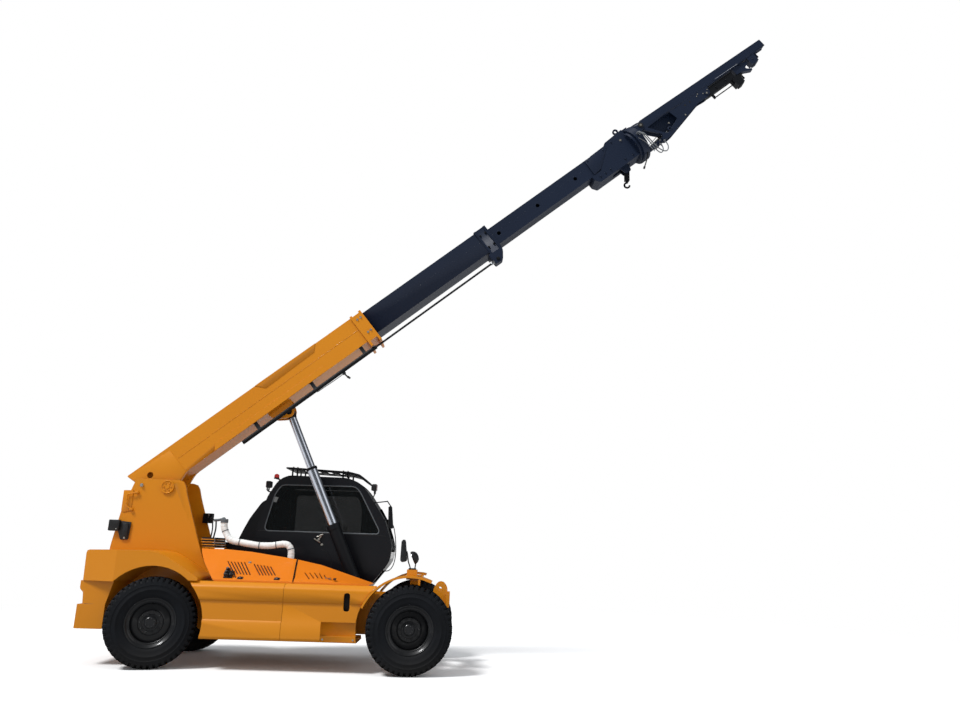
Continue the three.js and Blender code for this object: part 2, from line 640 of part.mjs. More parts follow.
function rearHatch() {
  const frame = sidePlate([[1000, 1780], [690, 1795, 20], [762, 1973, 60], [847, 2157, 60], [1029, 2436, 50],
    [1107, 2470], [1200, 2470], [1200, 1780]], cabInner + 40, cabOuter - 40);
  const inside = sidePlate([[1300, 1815], [730, 1825, 20], [798, 1973, 60], [880, 2140, 60], [1050, 2410],
    [1300, 2440]], cabInner + 60, cabOuter - 60);
  return cut(frame, inside, cabSeat);
}
piece(machine, "cab_rear_hatch", rearHatch(), black);

function roofGuard() {
  const guard = sidePlate([[1380, 2985, 20], [1470, 2985, 20], [2430, 2945, 20], [2600, 2905, 20], [2720, 2810, 20],
    [2760, 2800], [2730, 2850], [2620, 2935, 30], [2440, 2975, 30], [1470, 3015, 20], [1370, 3015, 20]],
  cabInner + 10, cabOuter - 10);
  const feet = [1480, 1560, 2330, 2410].flatMap((x) => [cabInner + 60, cabOuter - 60].map((y) =>
    bar([x, y, cabRoofTop - (x > 2000 ? 9 : 0) + gap], [x, y, 2990 - (x > 2000 ? 30 : 5)], 14, 8)));
  const slots = [0, 1, 2, 3].map((i) => block(1600 + i * 200, 1720 + i * 200, cabInner + 120, cabOuter - 120, 2900, 3050));
  return cut(join(guard, ...feet), ...slots);
}
piece(machine, "roof_guard", roofGuard(), black);

const beacon = join(
  cut(bar([1330, cabInner + 60, 2790], [1215, cabInner + 60, 2830], 14, 8), cabSeat),
  bar([1220, cabInner + 60, 2820], [1220, cabInner + 60, 2835], 45, 16),
  bar([1220, cabInner + 60, 2834], [1220, cabInner + 60, 2900], 40, 16, 34),
);
piece(machine, "beacon", beacon, redLens);

// Hydraulic valve box on the front edge of the tower's left plate.
piece(machine, "tower_valve_box", join(
  block(140, 285, railInner - 110, railInner - gap, 2050, 2205),
  block(215, 285, railInner - 160, railInner - 100, 2075, 2130),
), black);

function cabMirror() {
  const arm = join(
    bar([2893, cabInner - 30, 2470], [3110, cabInner - 30, 2500], 9, 8),
    bar([3106, cabInner - 30, 2508], [3190, cabInner - 30, 2400], 9, 8),
    bar([2893, cabInner - 39, 2470], [2893, cabInner - gap, 2470], 12, 8),
  );
  const head = sidePlate([[3165, 2060, 20], [3150, 2420, 20], [3195, 2420, 20], [3235, 2060, 20]],
    cabInner - 130, cabInner - 20);
  return join(arm, head);
}
piece(machine, "cab_mirror", cabMirror(), black);

// Door on the left side, with its glass.
const doorLeafOutline = shrink(doorOpening, 5.5);
const doorGlassOutline = [[1430, 1500, 60], [1430, 2610, 60], [2500, 2620, 50], [2560, 2540, 40], [2610, 2380, 30],
  [2610, 1400, 60], [2000, 1400, 60]];
const doorLeaf = cut(
  sidePlate(doorLeafOutline, cabOuter - cabWall, cabOuter),
  sidePlate(doorGlassOutline, cabOuter - cabWall - 5, cabOuter + 5),
);
const doorHandle = join(
  block(2480, 2600, cabOuter + 20, cabOuter + 40, 1250, 1280),
  block(2480, 2500, cabOuter - 5, cabOuter + 25, 1250, 1280),
  block(2580, 2600, cabOuter - 5, cabOuter + 25, 1250, 1280),
);
const doorHingeHalves = doorHinges.map((z) => join(
  bar([hingeX, hingeY, z - 40], [hingeX, hingeY, z + 40], 14, 12),
  block(hingeX, hingeX + 90, cabOuter + 2, hingeY + 8, z - 40, z + 40),
  block(hingeX + 30, hingeX + 90, cabOuter - 1, cabOuter + 3, z - 40, z + 40),
));
piece(machine, "cab_door", join(doorLeaf, doorHandle, ...doorHingeHalves), black);
piece(machine, "cab_door_glass", pane(doorGlassOutline, cabOuter - 25), glass);

// Seat, steering wheel and console inside the cab.
const cabMiddle = (cabInner + cabOuter) / 2;
const cabDeck = cabFloor + cabWall;
piece(machine, "driver_seat", join(
  sidePlate([[1480, 1210 + gap], [1480, 1330, 30], [2000, 1350, 50], [2010, 1210 + gap]], cabMiddle - 240, cabMiddle + 240),
  sidePlate([[1380, 1290, 30], [1290, 2080, 60], [1410, 2090, 50], [1540, 1300, 30]], cabMiddle - 240, cabMiddle + 240),
), seatCloth);

function steeringColumn() {
  const post = bar([2560, cabMiddle, cabDeck + gap + 20], [2380, cabMiddle, 1620], 45, 12, 30);
  const foot = block(2480, 2640, cabMiddle - 90, cabMiddle + 90, cabDeck + gap, cabDeck + 60);
  const wheelRing = new THREE.TorusGeometry(185, 14, 6, 20);
  wheelRing.rotateY(radians(30));
  wheelRing.translate(2375, cabMiddle, 1640);
  const ring = solid(wheelRing);
  const spokes = join(
    bar([2375, cabMiddle - 180, 1640], [2375, cabMiddle + 180, 1640], 12, 8),
    bar([2380, cabMiddle, 1600], [2371, cabMiddle, 1655], 40, 12),
  );
  return join(post, foot, ring, spokes);
}
piece(machine, "steering_column", steeringColumn(), black);

const consoleBody = join(
  sidePlate([[1700, cabDeck + gap], [1700, 1420, 40], [2150, 1480, 60], [2350, 1380, 60], [2350, cabDeck + gap]],
    cabInner + cabWall + gap, cabInner + cabWall + 110),
  bar([2050, cabInner + cabWall + 60, 1440], [2080, cabInner + cabWall + 60, 1600], 14, 8, 22),
  bar([2180, cabInner + cabWall + 60, 1430], [2200, cabInner + cabWall + 60, 1580], 12, 8, 20),
);
piece(machine, "control_console", consoleBody, black);

// ---------------------------------------------------------------- ducts and boxes by the tower
const ductRadius = 52;
const ductY = -frameHalfWidth + ductRadius - 4;
const ductFoot = { x: 1729, y: ductY, z: frameTop + 30 };
const duct = join(
  pipe([
    [632, -250, 2060], [640, -252, 1990], [690, -262, 1880], [770, -285, 1795], [940, ductY, 1762],
    [1215, ductY, 1725], [1414, ductY, 1727], [1560, ductY, 1752], [1655, ductY, 1748], [1716, ductY, 1685],
    [ductFoot.x, ductY, 1550], [ductFoot.x, ductY, 1400], [ductFoot.x, ductY, ductFoot.z],
  ], ductRadius, 10, 34),
  block(ductFoot.x - 55, ductFoot.x + 55, -357, ductY + 55, frameTop + gap, frameTop + 40),
  block(590, 680, -300, -200, 2050, 2120),
  block(470, 592, -270, -230, 2070, 2100),
);
piece(machine, "air_duct", duct, whiteWrap);

// ---------------------------------------------------------------- boom base section
const halfBase = boomWidth / 2;
const baseInnerFloor = boomFloor + baseWall;
const baseInnerTop = boomTop - baseWall;
const pivotBore = boreRadius(pinRadius + 15);

function boomBase() {
  const sheet = [
    [baseTail, boomTop, 20], [3890, boomTop], [3890, boomFloor], [340, boomFloor, 60], [110, -40, 60], [0, -110, 90],
    [-110, -30, 90], [-360, 290, 60],
  ];
  const hull = sidePlate(sheet, -halfBase, halfBase);
  const collar = sidePlate([[3885, -45], [3885, 588], [3925, 588], [3925, 560], [4060, 560], [4060, 588], [baseEnd, 588],
    [baseEnd, -45], [4060, -45], [4060, 40], [3925, 40], [3925, -45]], -halfBase - 32, halfBase + 32);
  const room = block(baseTail + 60, baseEnd + 10, -halfBase + baseWall, halfBase - baseWall, baseInnerFloor, baseInnerTop);
  const tailRoom = sidePlate([[baseTail + 60, baseInnerTop], [0, baseInnerTop], [0, baseInnerFloor], [-150, baseInnerFloor],
    [-340, 330]], -halfBase + baseWall, halfBase - baseWall);
  const earRoom = block(-500, 345, -halfBase + 45, halfBase - 45, -120, boomFloor - 1);
  const tube = crossBar(0, 0, 95, -railInner + 3, railInner - 3);
  const hollow = cut(hull, block(baseTail - 10, -100, -halfBase + baseWall, halfBase - baseWall, baseInnerFloor + 300,
    baseInnerTop - 5), room, earRoom);
  const lugs = [-1, 1].map((side) => sidePlate([[1860, boomFloor + 5], [1900, -40, 40], [2060, -150, 60], [2160, -190, 60],
    [2250, -130, 60], [2300, boomFloor + 5]], side * 75, side * 105));
  const lugBore = crossBar(liftEye.along, liftEye.up, boreRadius(pinRadius), -110, 110);
  const clearSides = halfBase - baseWall + 1;
  const padThickness = (boomWidth / 2 - baseWall) - midWidth / 2 - runningGap;
  const pads = [
    ...[-1, 1].map((side) => block(3900, 4090, side * clearSides, side * (clearSides - 1 - padThickness), 200, 460)),
    block(3900, 4090, -150, 150, baseInnerFloor - 1, midFloor - runningGap),
    block(3900, 4090, -150, 150, midTop + runningGap, baseInnerTop + 1),
  ];
  const ribs = [-1, 1].flatMap((side) => [
    sidePlate([[1974, 572], [2089, 437], [3068, 462], [3165, 572]], side * (halfBase - 1), side * (halfBase + 8)),
    sidePlate([[864, boomFloor + 2], [936, 165], [3042, 175], [3080, boomFloor + 2]], side * (halfBase - 1), side * (halfBase + 8)),
  ]);
  const framed = cut(collar, block(3800, baseEnd + 10, -halfBase + baseWall, halfBase - baseWall, baseInnerFloor, baseInnerTop));
  const tailHole = crossBar(-150, 361, 50, -400, 400);
  const pivotHole = crossBar(0, 0, pivotBore, -400, 400);
  const bored = cut(join(hollow, tube, framed, ...lugs, ...ribs), pivotHole, lugBore, tailHole);
  return join(bored, ...pads);
}
piece(boomFrame, "boom_base", boomBase(), yellow);

// Outside cylinder that pushes the middle section, under the near side of the boom.
const pushY = -195;
const pushZ = -85;
function extensionBarrel() {
  const tube = bar([1290, pushY, pushZ], [3950, pushY, pushZ], 34);
  const bore = bar([1340, pushY, pushZ], [3960, pushY, pushZ], 18 + runningGap, 12);
  const straps = [1600, 2700, 3700].map((x) => block(x, x + 60, pushY - 30, pushY + 30, pushZ, boomFloor - gap));
  return cut(join(tube, ...straps), bore);
}
piece(boomFrame, "extension_barrel", extensionBarrel(), black);

// ---------------------------------------------------------------- middle section
const halfMid = midWidth / 2;
function boomMid() {
  const tube = block(midStart, midEnd - 10, -halfMid, halfMid, midFloor, midTop);
  const collar = block(6510, midEnd, -halfMid - 25, halfMid + 25, 70, 558);
  const collarWaist = [-1, 1].map((side) => block(6550, 6700, side * (halfMid + 8), side * (halfMid + 30), 60, 570));
  const anchor = sidePlate([[6470, 71], [6470, -145, 20], [6620, -145, 30], [6740, 10, 60], [6740, 71]], -halfMid - 25, -halfMid + 120);
  const room = block(midStart - 10, midEnd + 10, -halfMid + midWall, halfMid - midWall, midFloor + midWall, midTop - midWall);
  const side0 = halfMid - midWall;
  const pads = [
    ...[-1, 1].map((side) => block(6520, 6740, side * (side0 + 1), side * (innerWidth / 2 + runningGap), 200, 440)),
    block(6520, 6740, -110, 110, midFloor + midWall - 1, innerFloor - runningGap),
    block(6520, 6740, -110, 110, innerTop + runningGap, midTop - midWall + 1),
  ];
  const rearPads = [
    block(midStart + 10, midStart + 160, -120, 120, midTop - 1, baseInnerTop - runningGap),
    block(midStart + 10, midStart + 160, -120, 120, baseInnerFloor + runningGap, midFloor + 1),
  ];
  return join(cut(join(tube, collar, anchor), room, ...collarWaist), ...pads, ...rearPads);
}
piece(boomFrame, "boom_mid", boomMid(), navy);
piece(boomFrame, "extension_rod", bar([3600, pushY, pushZ], [6470 - gap, pushY, pushZ], 18, 12), steel);

// ---------------------------------------------------------------- inner section and head
const halfInner = innerWidth / 2;
function boomInner() {
  const tube = block(innerStart, innerEnd, -halfInner, halfInner, innerFloor, innerTop);
  const room = block(innerStart - 10, innerEnd + 10, -halfInner + innerWall, halfInner - innerWall,
    innerFloor + innerWall, innerTop - innerWall);
  const holes = [6886, 7766, 8642].map((x) => crossBar(x, 305, 36, -200, 200, 16));
  const rearPads = [
    block(innerStart + 10, innerStart + 140, -90, 90, innerTop - 1, midTop - midWall - runningGap),
    block(innerStart + 10, innerStart + 140, -90, 90, midFloor + midWall + runningGap, innerFloor + 1),
  ];
  return join(cut(tube, room, ...holes), ...rearPads);
}
piece(boomFrame, "boom_inner", boomInner(), navy);

const hookPin = { x: 9560, z: -110 };
function boomHead() {
  const body = sidePlate([[innerEnd + gap, 480], [9500, 492], [9520, 530], [9900, 556], [headEnd, 556], [headEnd, -30],
    [9560, -30], [9450, -30], [8960, -30, 20], [8900, 60], [8900, innerFloor - gap], [innerEnd + gap, innerFloor - gap]],
  -halfInner - 20, halfInner + 20);
  const pocket = block(innerEnd + 60, headEnd - 60, -halfInner + 10, halfInner - 10, 60, 430);
  const drain = block(9300, 9700, -60, 60, -40, 70);
  const flange = bar([headEnd - 30, 0, slewHeight], [headEnd + 20, 0, slewHeight], 300, 32);
  const topPlate = block(9870, headEnd + 10, -60, 60, 558, 576);
  const plateFoot = block(9870, 9935, -60, 60, 550, 560);
  const eye = cut(
    crossBar(9914, 637, 55, -14, 14, 16),
    crossBar(9914, 637, 28, -20, 20, 12),
  );
  const eyeFoot = block(9900, 9930, -14, 14, 570, 600);
  const hookCheeks = [-1, 1].map((side) => sidePlate([[9470, -29], [9500, -150, 30], [9620, -150, 30], [9650, -29]],
    side * 45, side * 65));
  const hookShaft = crossBar(hookPin.x, hookPin.z, 20, -66, 66, 16);
  return join(cut(body, pocket, drain), flange, topPlate, plateFoot, eye, eyeFoot, ...hookCheeks, hookShaft);
}
piece(boomFrame, "boom_head", boomHead(), navy);

// ---------------------------------------------------------------- hook
const hookFrame = new THREE.Group();
hookFrame.position.set(hookPin.x, 0, hookPin.z);
hookFrame.rotation.y = radians(boomAngle);
boomFrame.add(hookFrame);

function liftingHook() {
  const bore = crossBar(0, 0, boreRadius(20, 16), -60, 60, 16);
  const housing = cut(join(
    block(-42, 42, -40, 40, -190, 0),
    crossBar(0, 0, 42, -40, 40, 20),
  ), bore);
  const shank = bar([0, 0, -230], [0, 0, -185], 22, 12);
  const centreZ = -275;
  const curve = [];
  for (let i = 0; i <= 12; i += 1) {
    const angle = radians(90 + i * 22.5);
    curve.push([48 * Math.cos(angle), 0, centreZ + 48 * Math.sin(angle)]);
  }
  return join(housing, shank, pipe(curve, 17, 10, 20));
}
piece(hookFrame, "lifting_hook", liftingHook(), black);

// ---------------------------------------------------------------- slewing head
const jibPin = { x: 10330, z: 430 };
const tiltFoot = { x: 10150, z: -20 };
const tiltEye = { x: 10745, z: 60 };
const hoseRadius = 10;
const hoseRoutes = [
  [[10030, -350, 265], [10030, -375, 265], [10032, -402, 261], [10036, -425, 245], [10042, -437, 215],
    [10052, -436, 170], [10064, -420, 110], [10080, -390, 40], [10098, -350, -40], [10120, -305, -120],
    [10150, -260, -190], [10190, -215, -235], [10240, -180, -248], [10292, -155, -230], [10334, -139, -194],
    [10356, -132, -156], [10360, -131, -128], [10360, -131, -105]],
  [[10060, -350, 225], [10060, -375, 225], [10062, -401, 220], [10067, -423, 203], [10075, -435, 170],
    [10087, -432, 120], [10102, -412, 50], [10122, -378, -30], [10150, -335, -115], [10190, -290, -195],
    [10245, -245, -255], [10310, -205, -282], [10375, -175, -268], [10430, -151, -224], [10460, -136, -170],
    [10470, -131, -132], [10470, -131, -108], [10470, -131, -85]],
];
function slewHead() {
  const drumStart = headEnd + 20 + runningGap;
  const drum = bar([drumStart, 0, slewHeight], [10095, 0, slewHeight], slewRadius, 40);
  const upperEars = [-1, 1].map((side) => sidePlate([[10094, 250], [10094, 520], [10340, 510, 60], [10400, 430, 60],
    [10340, 350, 60]], side * 82, side * 107));
  const lowerEars = [-1, 1].map((side) => sidePlate([[10094, 80], [10200, 20, 40], [10200, -70, 40], [10094, -90]],
    side * 40, side * 54));
  const pins = [
    crossBar(jibPin.x, jibPin.z, 35, -108, 108, 24),
    crossBar(tiltFoot.x, tiltFoot.z, 20, -55, 55),
  ];
  const hoseBracket = sidePlate([[10090, -60], [10180, -20], [10500, 0], [10505, -60], [10360, -90], [10200, -100],
    [10090, -100]], -112, -96);
  const fittings = hoseRoutes.flatMap((route) => {
    const [first, last] = [route[0], route[route.length - 1]];
    return [
      bar([first[0], first[1] + gap, first[2]], [first[0], first[1] + 40, first[2]], 20, 10),
      bar([last[0], last[1], last[2] + 1], [last[0], last[1], last[2] + 65], 20, 10),
    ];
  });
  const topPlate = block(drumStart + 5, 10110, -60, 60, 558, 576);
  const plateFoot = block(drumStart + 5, 10090, -60, 60, slewHeight + slewRadius - 20, 559);
  return join(drum, ...upperEars, ...lowerEars, ...pins, hoseBracket, topPlate, plateFoot, ...fittings);
}
piece(boomFrame, "slew_head", slewHead(), navy);
piece(boomFrame, "head_hose_a", pipe(hoseRoutes[0], hoseRadius, 8, 30), black);
piece(boomFrame, "head_hose_b", pipe(hoseRoutes[1], hoseRadius, 8, 30), black);

// ---------------------------------------------------------------- jib
const halfJib = jibWidth / 2;
function clampEnd(x, z) {
  return join(
    block(x - 170, x, -70, 70, z - 170, z + 1),
    block(x - 120, x - 40, -80, 80, z - 190, z - 169),
    bar([x + 75, 0, z + 1], [x + 75, 0, z - 110], 16, 12),
    block(x - 20, x + 100, -40, 40, z - 20, z + 1),
  );
}

const jawPin = { x: 11800, z: 205 };
function jibArm() {
  const profile = [[10262, 430, 30], [10300, 490, 30], [10396, 522], [11700, jibTop], [jibEnd, 466], [jibEnd, 311],
    [11900, jibFloor], [11870, 150, 60], [11740, 130, 60], [11560, 150, 40], [11150, 50, 20], [10700, -60, 20],
    [10560, -70, 20], [10500, -30], [10560, 60, 30], [10290, 370, 20]];
  const opening = [[10420, 330, 10], [10966, 349, 20], [11000, 140, 20], [10690, 20, 10], [10640, 20]];
  const cheeks = [-1, 1].map((side) => cut(
    sidePlate(profile, side * (halfJib - 18), side * halfJib),
    sidePlate(opening, side * (halfJib - 20), side * (halfJib + 5)),
  ));
  const inside = halfJib - 17;
  const spine = cut(
    sidePlate([[10420, 516], [11700, 494], [jibEnd - 5, 460], [jibEnd - 5, 317], [11700, 306], [11100, 306],
      [10420, 420]], -inside, inside),
    crossBar(jibPin.x, jibPin.z, 80, -200, 200),
  );
  const pivotTube = crossBar(jibPin.x, jibPin.z, 62, -halfJib, halfJib);
  const web = block(11180, 11560, -inside, inside, 160, 330);
  const jawShaft = crossBar(jawPin.x, jawPin.z, 20, -inside - 1, inside + 1);
  const eyeBosses = [-1, 1].map((side) => crossBar(tiltEye.x, tiltEye.z, 46, side * (halfJib - 18), side * (halfJib + 3)));
  const claw = sidePlate([[12560, 318], [12560, 165], [12700, 145, 20], [12880, 62, 10], [12892, 92, 10],
    [12800, 150, 30], [12800, 200, 30], [12890, 215, 20], [12915, 262, 10], [12760, 318]], -45, 45);
  const body = join(...cheeks, spine, pivotTube, web, jawShaft, ...eyeBosses, clampEnd(13110, 318), claw);
  const eyeBore = crossBar(tiltEye.x, tiltEye.z, boreRadius(20), -200, 200);
  return cut(body, crossBar(jibPin.x, jibPin.z, boreRadius(35, 24), -200, 200, 24), eyeBore);
}
piece(boomFrame, "jib_arm", jibArm(), navy);

function clampJaw() {
  const inside = halfJib - 18 - 7;
  const beam = block(11800, 12500, -inside, inside, 130, 275);
  const boss = crossBar(jawPin.x, jawPin.z, 70, -inside, inside);
  const rod = bar([11890, 0, 55], [12420, 0, 55], 11, 10);
  const rodEars = [11900, 12390].map((x) => block(x, x + 30, -22, 22, 40, 131));
  const jaw = join(beam, boss, rod, ...rodEars, clampEnd(12580, 135));
  return cut(jaw, crossBar(jawPin.x, jawPin.z, boreRadius(20), -200, 200));
}
piece(boomFrame, "clamp_jaw", clampJaw(), black);

// Tilt cylinder of the jib.
const tiltLength = Math.hypot(tiltEye.x - tiltFoot.x, tiltEye.z - tiltFoot.z);
function alongCylinder(parent, foot, eye) {
  const group = new THREE.Group();
  group.position.set(foot.x, 0, foot.z);
  group.rotation.y = -Math.atan2(eye.z - foot.z, eye.x - foot.x);
  parent.add(group);
  return group;
}
const tiltFrame = alongCylinder(boomFrame, tiltFoot, tiltEye);
piece(tiltFrame, "tilt_barrel", cut(
  join(crossBar(0, 0, 34, -38, 38), bar([20, 0, 0], [400, 0, 0], 38, 20)),
  crossBar(0, 0, boreRadius(20), -50, 50),
  bar([90, 0, 0], [410, 0, 0], 22 + runningGap),
), black);
piece(tiltFrame, "tilt_rod", join(
  bar([260, 0, 0], [tiltLength - 20, 0, 0], 22),
  crossBar(tiltLength, 0, 34, -40, 40),
  crossBar(tiltLength, 0, 20, -50, 50),
), chrome);

// ---------------------------------------------------------------- lift cylinder, two stages and a rod
const eyeAngle = radians(boomAngle) + Math.atan2(liftEye.up, liftEye.along);
const eyeReach = Math.hypot(liftEye.along, liftEye.up);
const eyePlace = {
  x: boomPivot.x + eyeReach * Math.cos(eyeAngle),
  z: boomPivot.z + eyeReach * Math.sin(eyeAngle),
};
const liftLength = Math.hypot(eyePlace.x - liftFoot.x, eyePlace.z - liftFoot.z);
const liftFrame = alongCylinder(machine, liftFoot, eyePlace);

const barrelEye = liftBarrelRadius + 4; // half width of the barrel's eye, between the foot plates
piece(liftFrame, "lift_barrel", cut(
  join(
    crossBar(0, 0, 85, -barrelEye, barrelEye, 24),
    bar([60, 0, 0], [liftBarrelLength, 0, 0], liftBarrelRadius, 24),
  ),
  crossBar(0, 0, boreRadius(pinRadius), -barrelEye - 10, barrelEye + 10),
  bar([130, 0, 0], [liftBarrelLength + 10, 0, 0], liftStageRadius + runningGap, 24),
), black);
piece(liftFrame, "lift_stage", cut(
  join(
    bar([liftStageStart, 0, 0], [liftStageEnd, 0, 0], liftStageRadius, 24),
    bar([liftStageEnd - 40, 0, 0], [liftStageEnd, 0, 0], liftStageRadius + 6, 24),
  ),
  bar([liftStageStart + 20, 0, 0], [liftStageEnd + 10, 0, 0], liftRodRadius + runningGap, 24),
), chrome);
piece(liftFrame, "lift_rod", join(
  bar([liftRodStart, 0, 0], [liftLength - 50, 0, 0], liftRodRadius, 24),
  crossBar(liftLength, 0, 80, -68, 68),
  crossBar(liftLength, 0, pinRadius, -72, 72),
), chrome);

export default machine;
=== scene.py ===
"""Looks of a heavy telescopic handler with a clamping jib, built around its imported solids.

Everything is in metres in the machine's own frame: +X forward, +Y to the left, +Z up, with the
ground at z = 0.  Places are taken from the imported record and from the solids' boxes.
"""

import functools
import json
import logging
import math
from dataclasses import dataclass, field
from enum import Enum
from typing import Callable, Iterable, Sequence

import bmesh
import bpy
from mathutils import Matrix, Vector
from mathutils.bvhtree import BVHTree

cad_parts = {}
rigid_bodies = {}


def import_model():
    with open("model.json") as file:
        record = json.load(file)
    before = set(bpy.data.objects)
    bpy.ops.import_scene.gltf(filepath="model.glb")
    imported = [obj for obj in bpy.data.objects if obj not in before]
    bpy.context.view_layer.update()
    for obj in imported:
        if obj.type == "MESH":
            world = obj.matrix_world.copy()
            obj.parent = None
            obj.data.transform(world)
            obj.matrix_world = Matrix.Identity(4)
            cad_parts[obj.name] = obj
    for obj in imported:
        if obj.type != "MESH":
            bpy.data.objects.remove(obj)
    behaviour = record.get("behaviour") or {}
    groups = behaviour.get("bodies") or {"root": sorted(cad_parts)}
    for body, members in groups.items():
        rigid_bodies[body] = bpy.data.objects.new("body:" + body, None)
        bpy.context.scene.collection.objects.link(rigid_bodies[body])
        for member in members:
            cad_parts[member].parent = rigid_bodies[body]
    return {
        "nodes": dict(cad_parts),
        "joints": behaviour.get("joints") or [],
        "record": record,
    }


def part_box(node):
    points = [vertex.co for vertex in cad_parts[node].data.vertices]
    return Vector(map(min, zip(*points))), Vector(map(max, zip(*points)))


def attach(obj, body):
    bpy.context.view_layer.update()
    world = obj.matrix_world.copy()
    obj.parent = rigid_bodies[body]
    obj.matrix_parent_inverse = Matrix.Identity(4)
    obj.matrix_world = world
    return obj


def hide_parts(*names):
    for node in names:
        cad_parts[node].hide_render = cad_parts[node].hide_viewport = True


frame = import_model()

log = logging.getLogger("telehandler")

Point = Sequence[float]


class Side(Enum):
    """Side of the machine, as the sign of Y."""

    RIGHT = -1
    LEFT = 1


# ------------------------------------------------------------------ shader maths
@dataclass(frozen=True)
class Value:
    """A number socket of a material; sums on it add Math nodes."""

    shader: "Shader"
    socket: bpy.types.NodeSocket

    def math(self, operation: str, first: "float | Value", second: "float | Value") -> "Value":
        """Adds a Math node.

        Args:
            operation: the Math node's operation.
            first: its first input.
            second: its second input.

        Returns:
            The node's result.
        """
        node = self.shader.node("ShaderNodeMath", {"operation": operation}, {0: first, 1: second})
        return Value(self.shader, node.outputs[0])

    def __add__(self, other: "float | Value") -> "Value":
        """The sum."""
        return self.math("ADD", self, other)

    __radd__ = __add__

    def __sub__(self, other: "float | Value") -> "Value":
        """The difference."""
        return self.math("SUBTRACT", self, other)

    def __rsub__(self, other: float) -> "Value":
        """The difference, the other way round."""
        return self.math("SUBTRACT", other, self)

    def __mul__(self, other: "float | Value") -> "Value":
        """The product."""
        return self.math("MULTIPLY", self, other)

    __rmul__ = __mul__

    def clamp(self) -> "Value":
        """The value held between 0 and 1."""
        node = self.shader.node("ShaderNodeClamp", {}, {"Value": self})
        return Value(self.shader, node.outputs[0])

    def step(self, start: float, end: float) -> "Value":
        """Rises smoothly from 0 at start to 1 at end.

        Args:
            start: the value that gives 0.
            end: the value that gives 1.

        Returns:
            The eased value.
        """
        node = self.shader.node(
            "ShaderNodeMapRange", {"interpolation_type": "SMOOTHSTEP"},
            {"Value": self, "From Min": start, "From Max": end},
        )
        return Value(self.shader, node.outputs[0])


class Shader:
    """The nodes of a material, or of the world, under construction."""

    def __init__(self, name: str, world: bool = False) -> None:
        """Starts with no nodes but the output.

        Args:
            name: the material's or the world's name.
            world: whether it is the world.
        """
        owners = bpy.data.worlds if world else bpy.data.materials
        self.owner = owners.new(name)
        self.owner.use_nodes = True
        self.tree = self.owner.node_tree
        self.tree.nodes.clear()
        self.output = self.node(f"ShaderNodeOutput{'World' if world else 'Material'}", {}, {})

    @functools.cached_property
    def place(self) -> bpy.types.NodeSocket:
        """The object's own coordinates."""
        return self.node("ShaderNodeTexCoord", {}, {}).outputs["Object"]

    def node(self, kind: str, settings: dict, inputs: dict) -> bpy.types.Node:
        """Adds a node.

        Args:
            kind: the node's type.
            settings: its properties, such as a Math node's operation.
            inputs: values or links of its sockets, by name or number.

        Returns:
            The new node.
        """
        node = self.tree.nodes.new(kind)
        for key, value in settings.items():
            setattr(node, key, value)
        for key, value in inputs.items():
            link = value.socket if isinstance(value, Value) else value
            if isinstance(link, bpy.types.NodeSocket):
                self.tree.links.new(link, node.inputs[key])
            else:
                node.inputs[key].default_value = link
        return node

    def noise(self, scale: float, detail: float) -> Value:
        """Soft cloudy noise from 0 to 1.

        Args:
            scale: patches in a metre.
            detail: how many finer layers it has.

        Returns:
            The noise's value.
        """
        node = self.node("ShaderNodeTexNoise", {}, {"Vector": self.place, "Scale": scale, "Detail": detail})
        return Value(self, node.outputs[0])

    def axes(self) -> tuple[Value, Value, Value]:
        """The object's own x, y and z, in metres."""
        node = self.node("ShaderNodeSeparateXYZ", {}, {"Vector": self.place})
        return tuple(Value(self, socket) for socket in node.outputs)

    def facing_up(self) -> Value:
        """How far a surface faces up, from -1 to 1."""
        normal = self.node("ShaderNodeNewGeometry", {}, {}).outputs["Normal"]
        node = self.node("ShaderNodeSeparateXYZ", {}, {"Vector": normal})
        return Value(self, node.outputs[2])

    def mix(self, factor: "float | Value", first: object, second: object) -> bpy.types.NodeSocket:
        """Mixes two colours.

        Args:
            factor: 0 for the first, 1 for the second.
            first: a colour or a colour socket.
            second: a colour or a colour socket.

        Returns:
            The mixed colour's socket.
        """
        node = self.node("ShaderNodeMix", {"data_type": "RGBA"}, {0: factor, 6: first, 7: second})
        return node.outputs[2]

    def relief(self, height: Value, distance: float, strength: float,
               edge: float = 0.0) -> bpy.types.NodeSocket:
        """A bumped normal, on rounded edges if asked.

        Args:
            height: the relief's height, from 0 to 1.
            distance: metres of relief.
            strength: share of it that shows.
            edge: radius of the rounded edges, in metres, or 0 for none.

        Returns:
            The normal's socket.
        """
        inputs = {"Height": height, "Distance": distance, "Strength": strength}
        if edge > 0:
            inputs["Normal"] = self.node("ShaderNodeBevel", {"samples": 4}, {"Radius": edge}).outputs[0]
        return self.node("ShaderNodeBump", {}, inputs).outputs[0]

    def end(self, last: bpy.types.Node) -> "bpy.types.Material | bpy.types.World":
        """Links the last node to the output.

        Args:
            last: the surface, the background or their mix.

        Returns:
            The finished material or world.
        """
        self.tree.links.new(last.outputs[0], self.output.inputs[0])
        return self.owner

    def close(self, inputs: dict) -> bpy.types.Material:
        """Ends the material in one principled surface, whose sockets are given."""
        return self.end(self.node("ShaderNodeBsdfPrincipled", {}, inputs))


WHITE = (1.0, 1.0, 1.0, 1.0)


def tint(hex_colour: str) -> tuple[float, float, float, float]:
    """A colour as Blender wants it.

    Args:
        hex_colour: six hex digits, as written for a screen.

    Returns:
        Linear red, green and blue, and 1.
    """
    channels = [int(hex_colour[i:i + 2], 16) / 255 for i in (0, 2, 4)]
    linear = [c / 12.92 if c <= 0.04045 else ((c + 0.055) / 1.055) ** 2.4 for c in channels]
    return (*linear, 1.0)


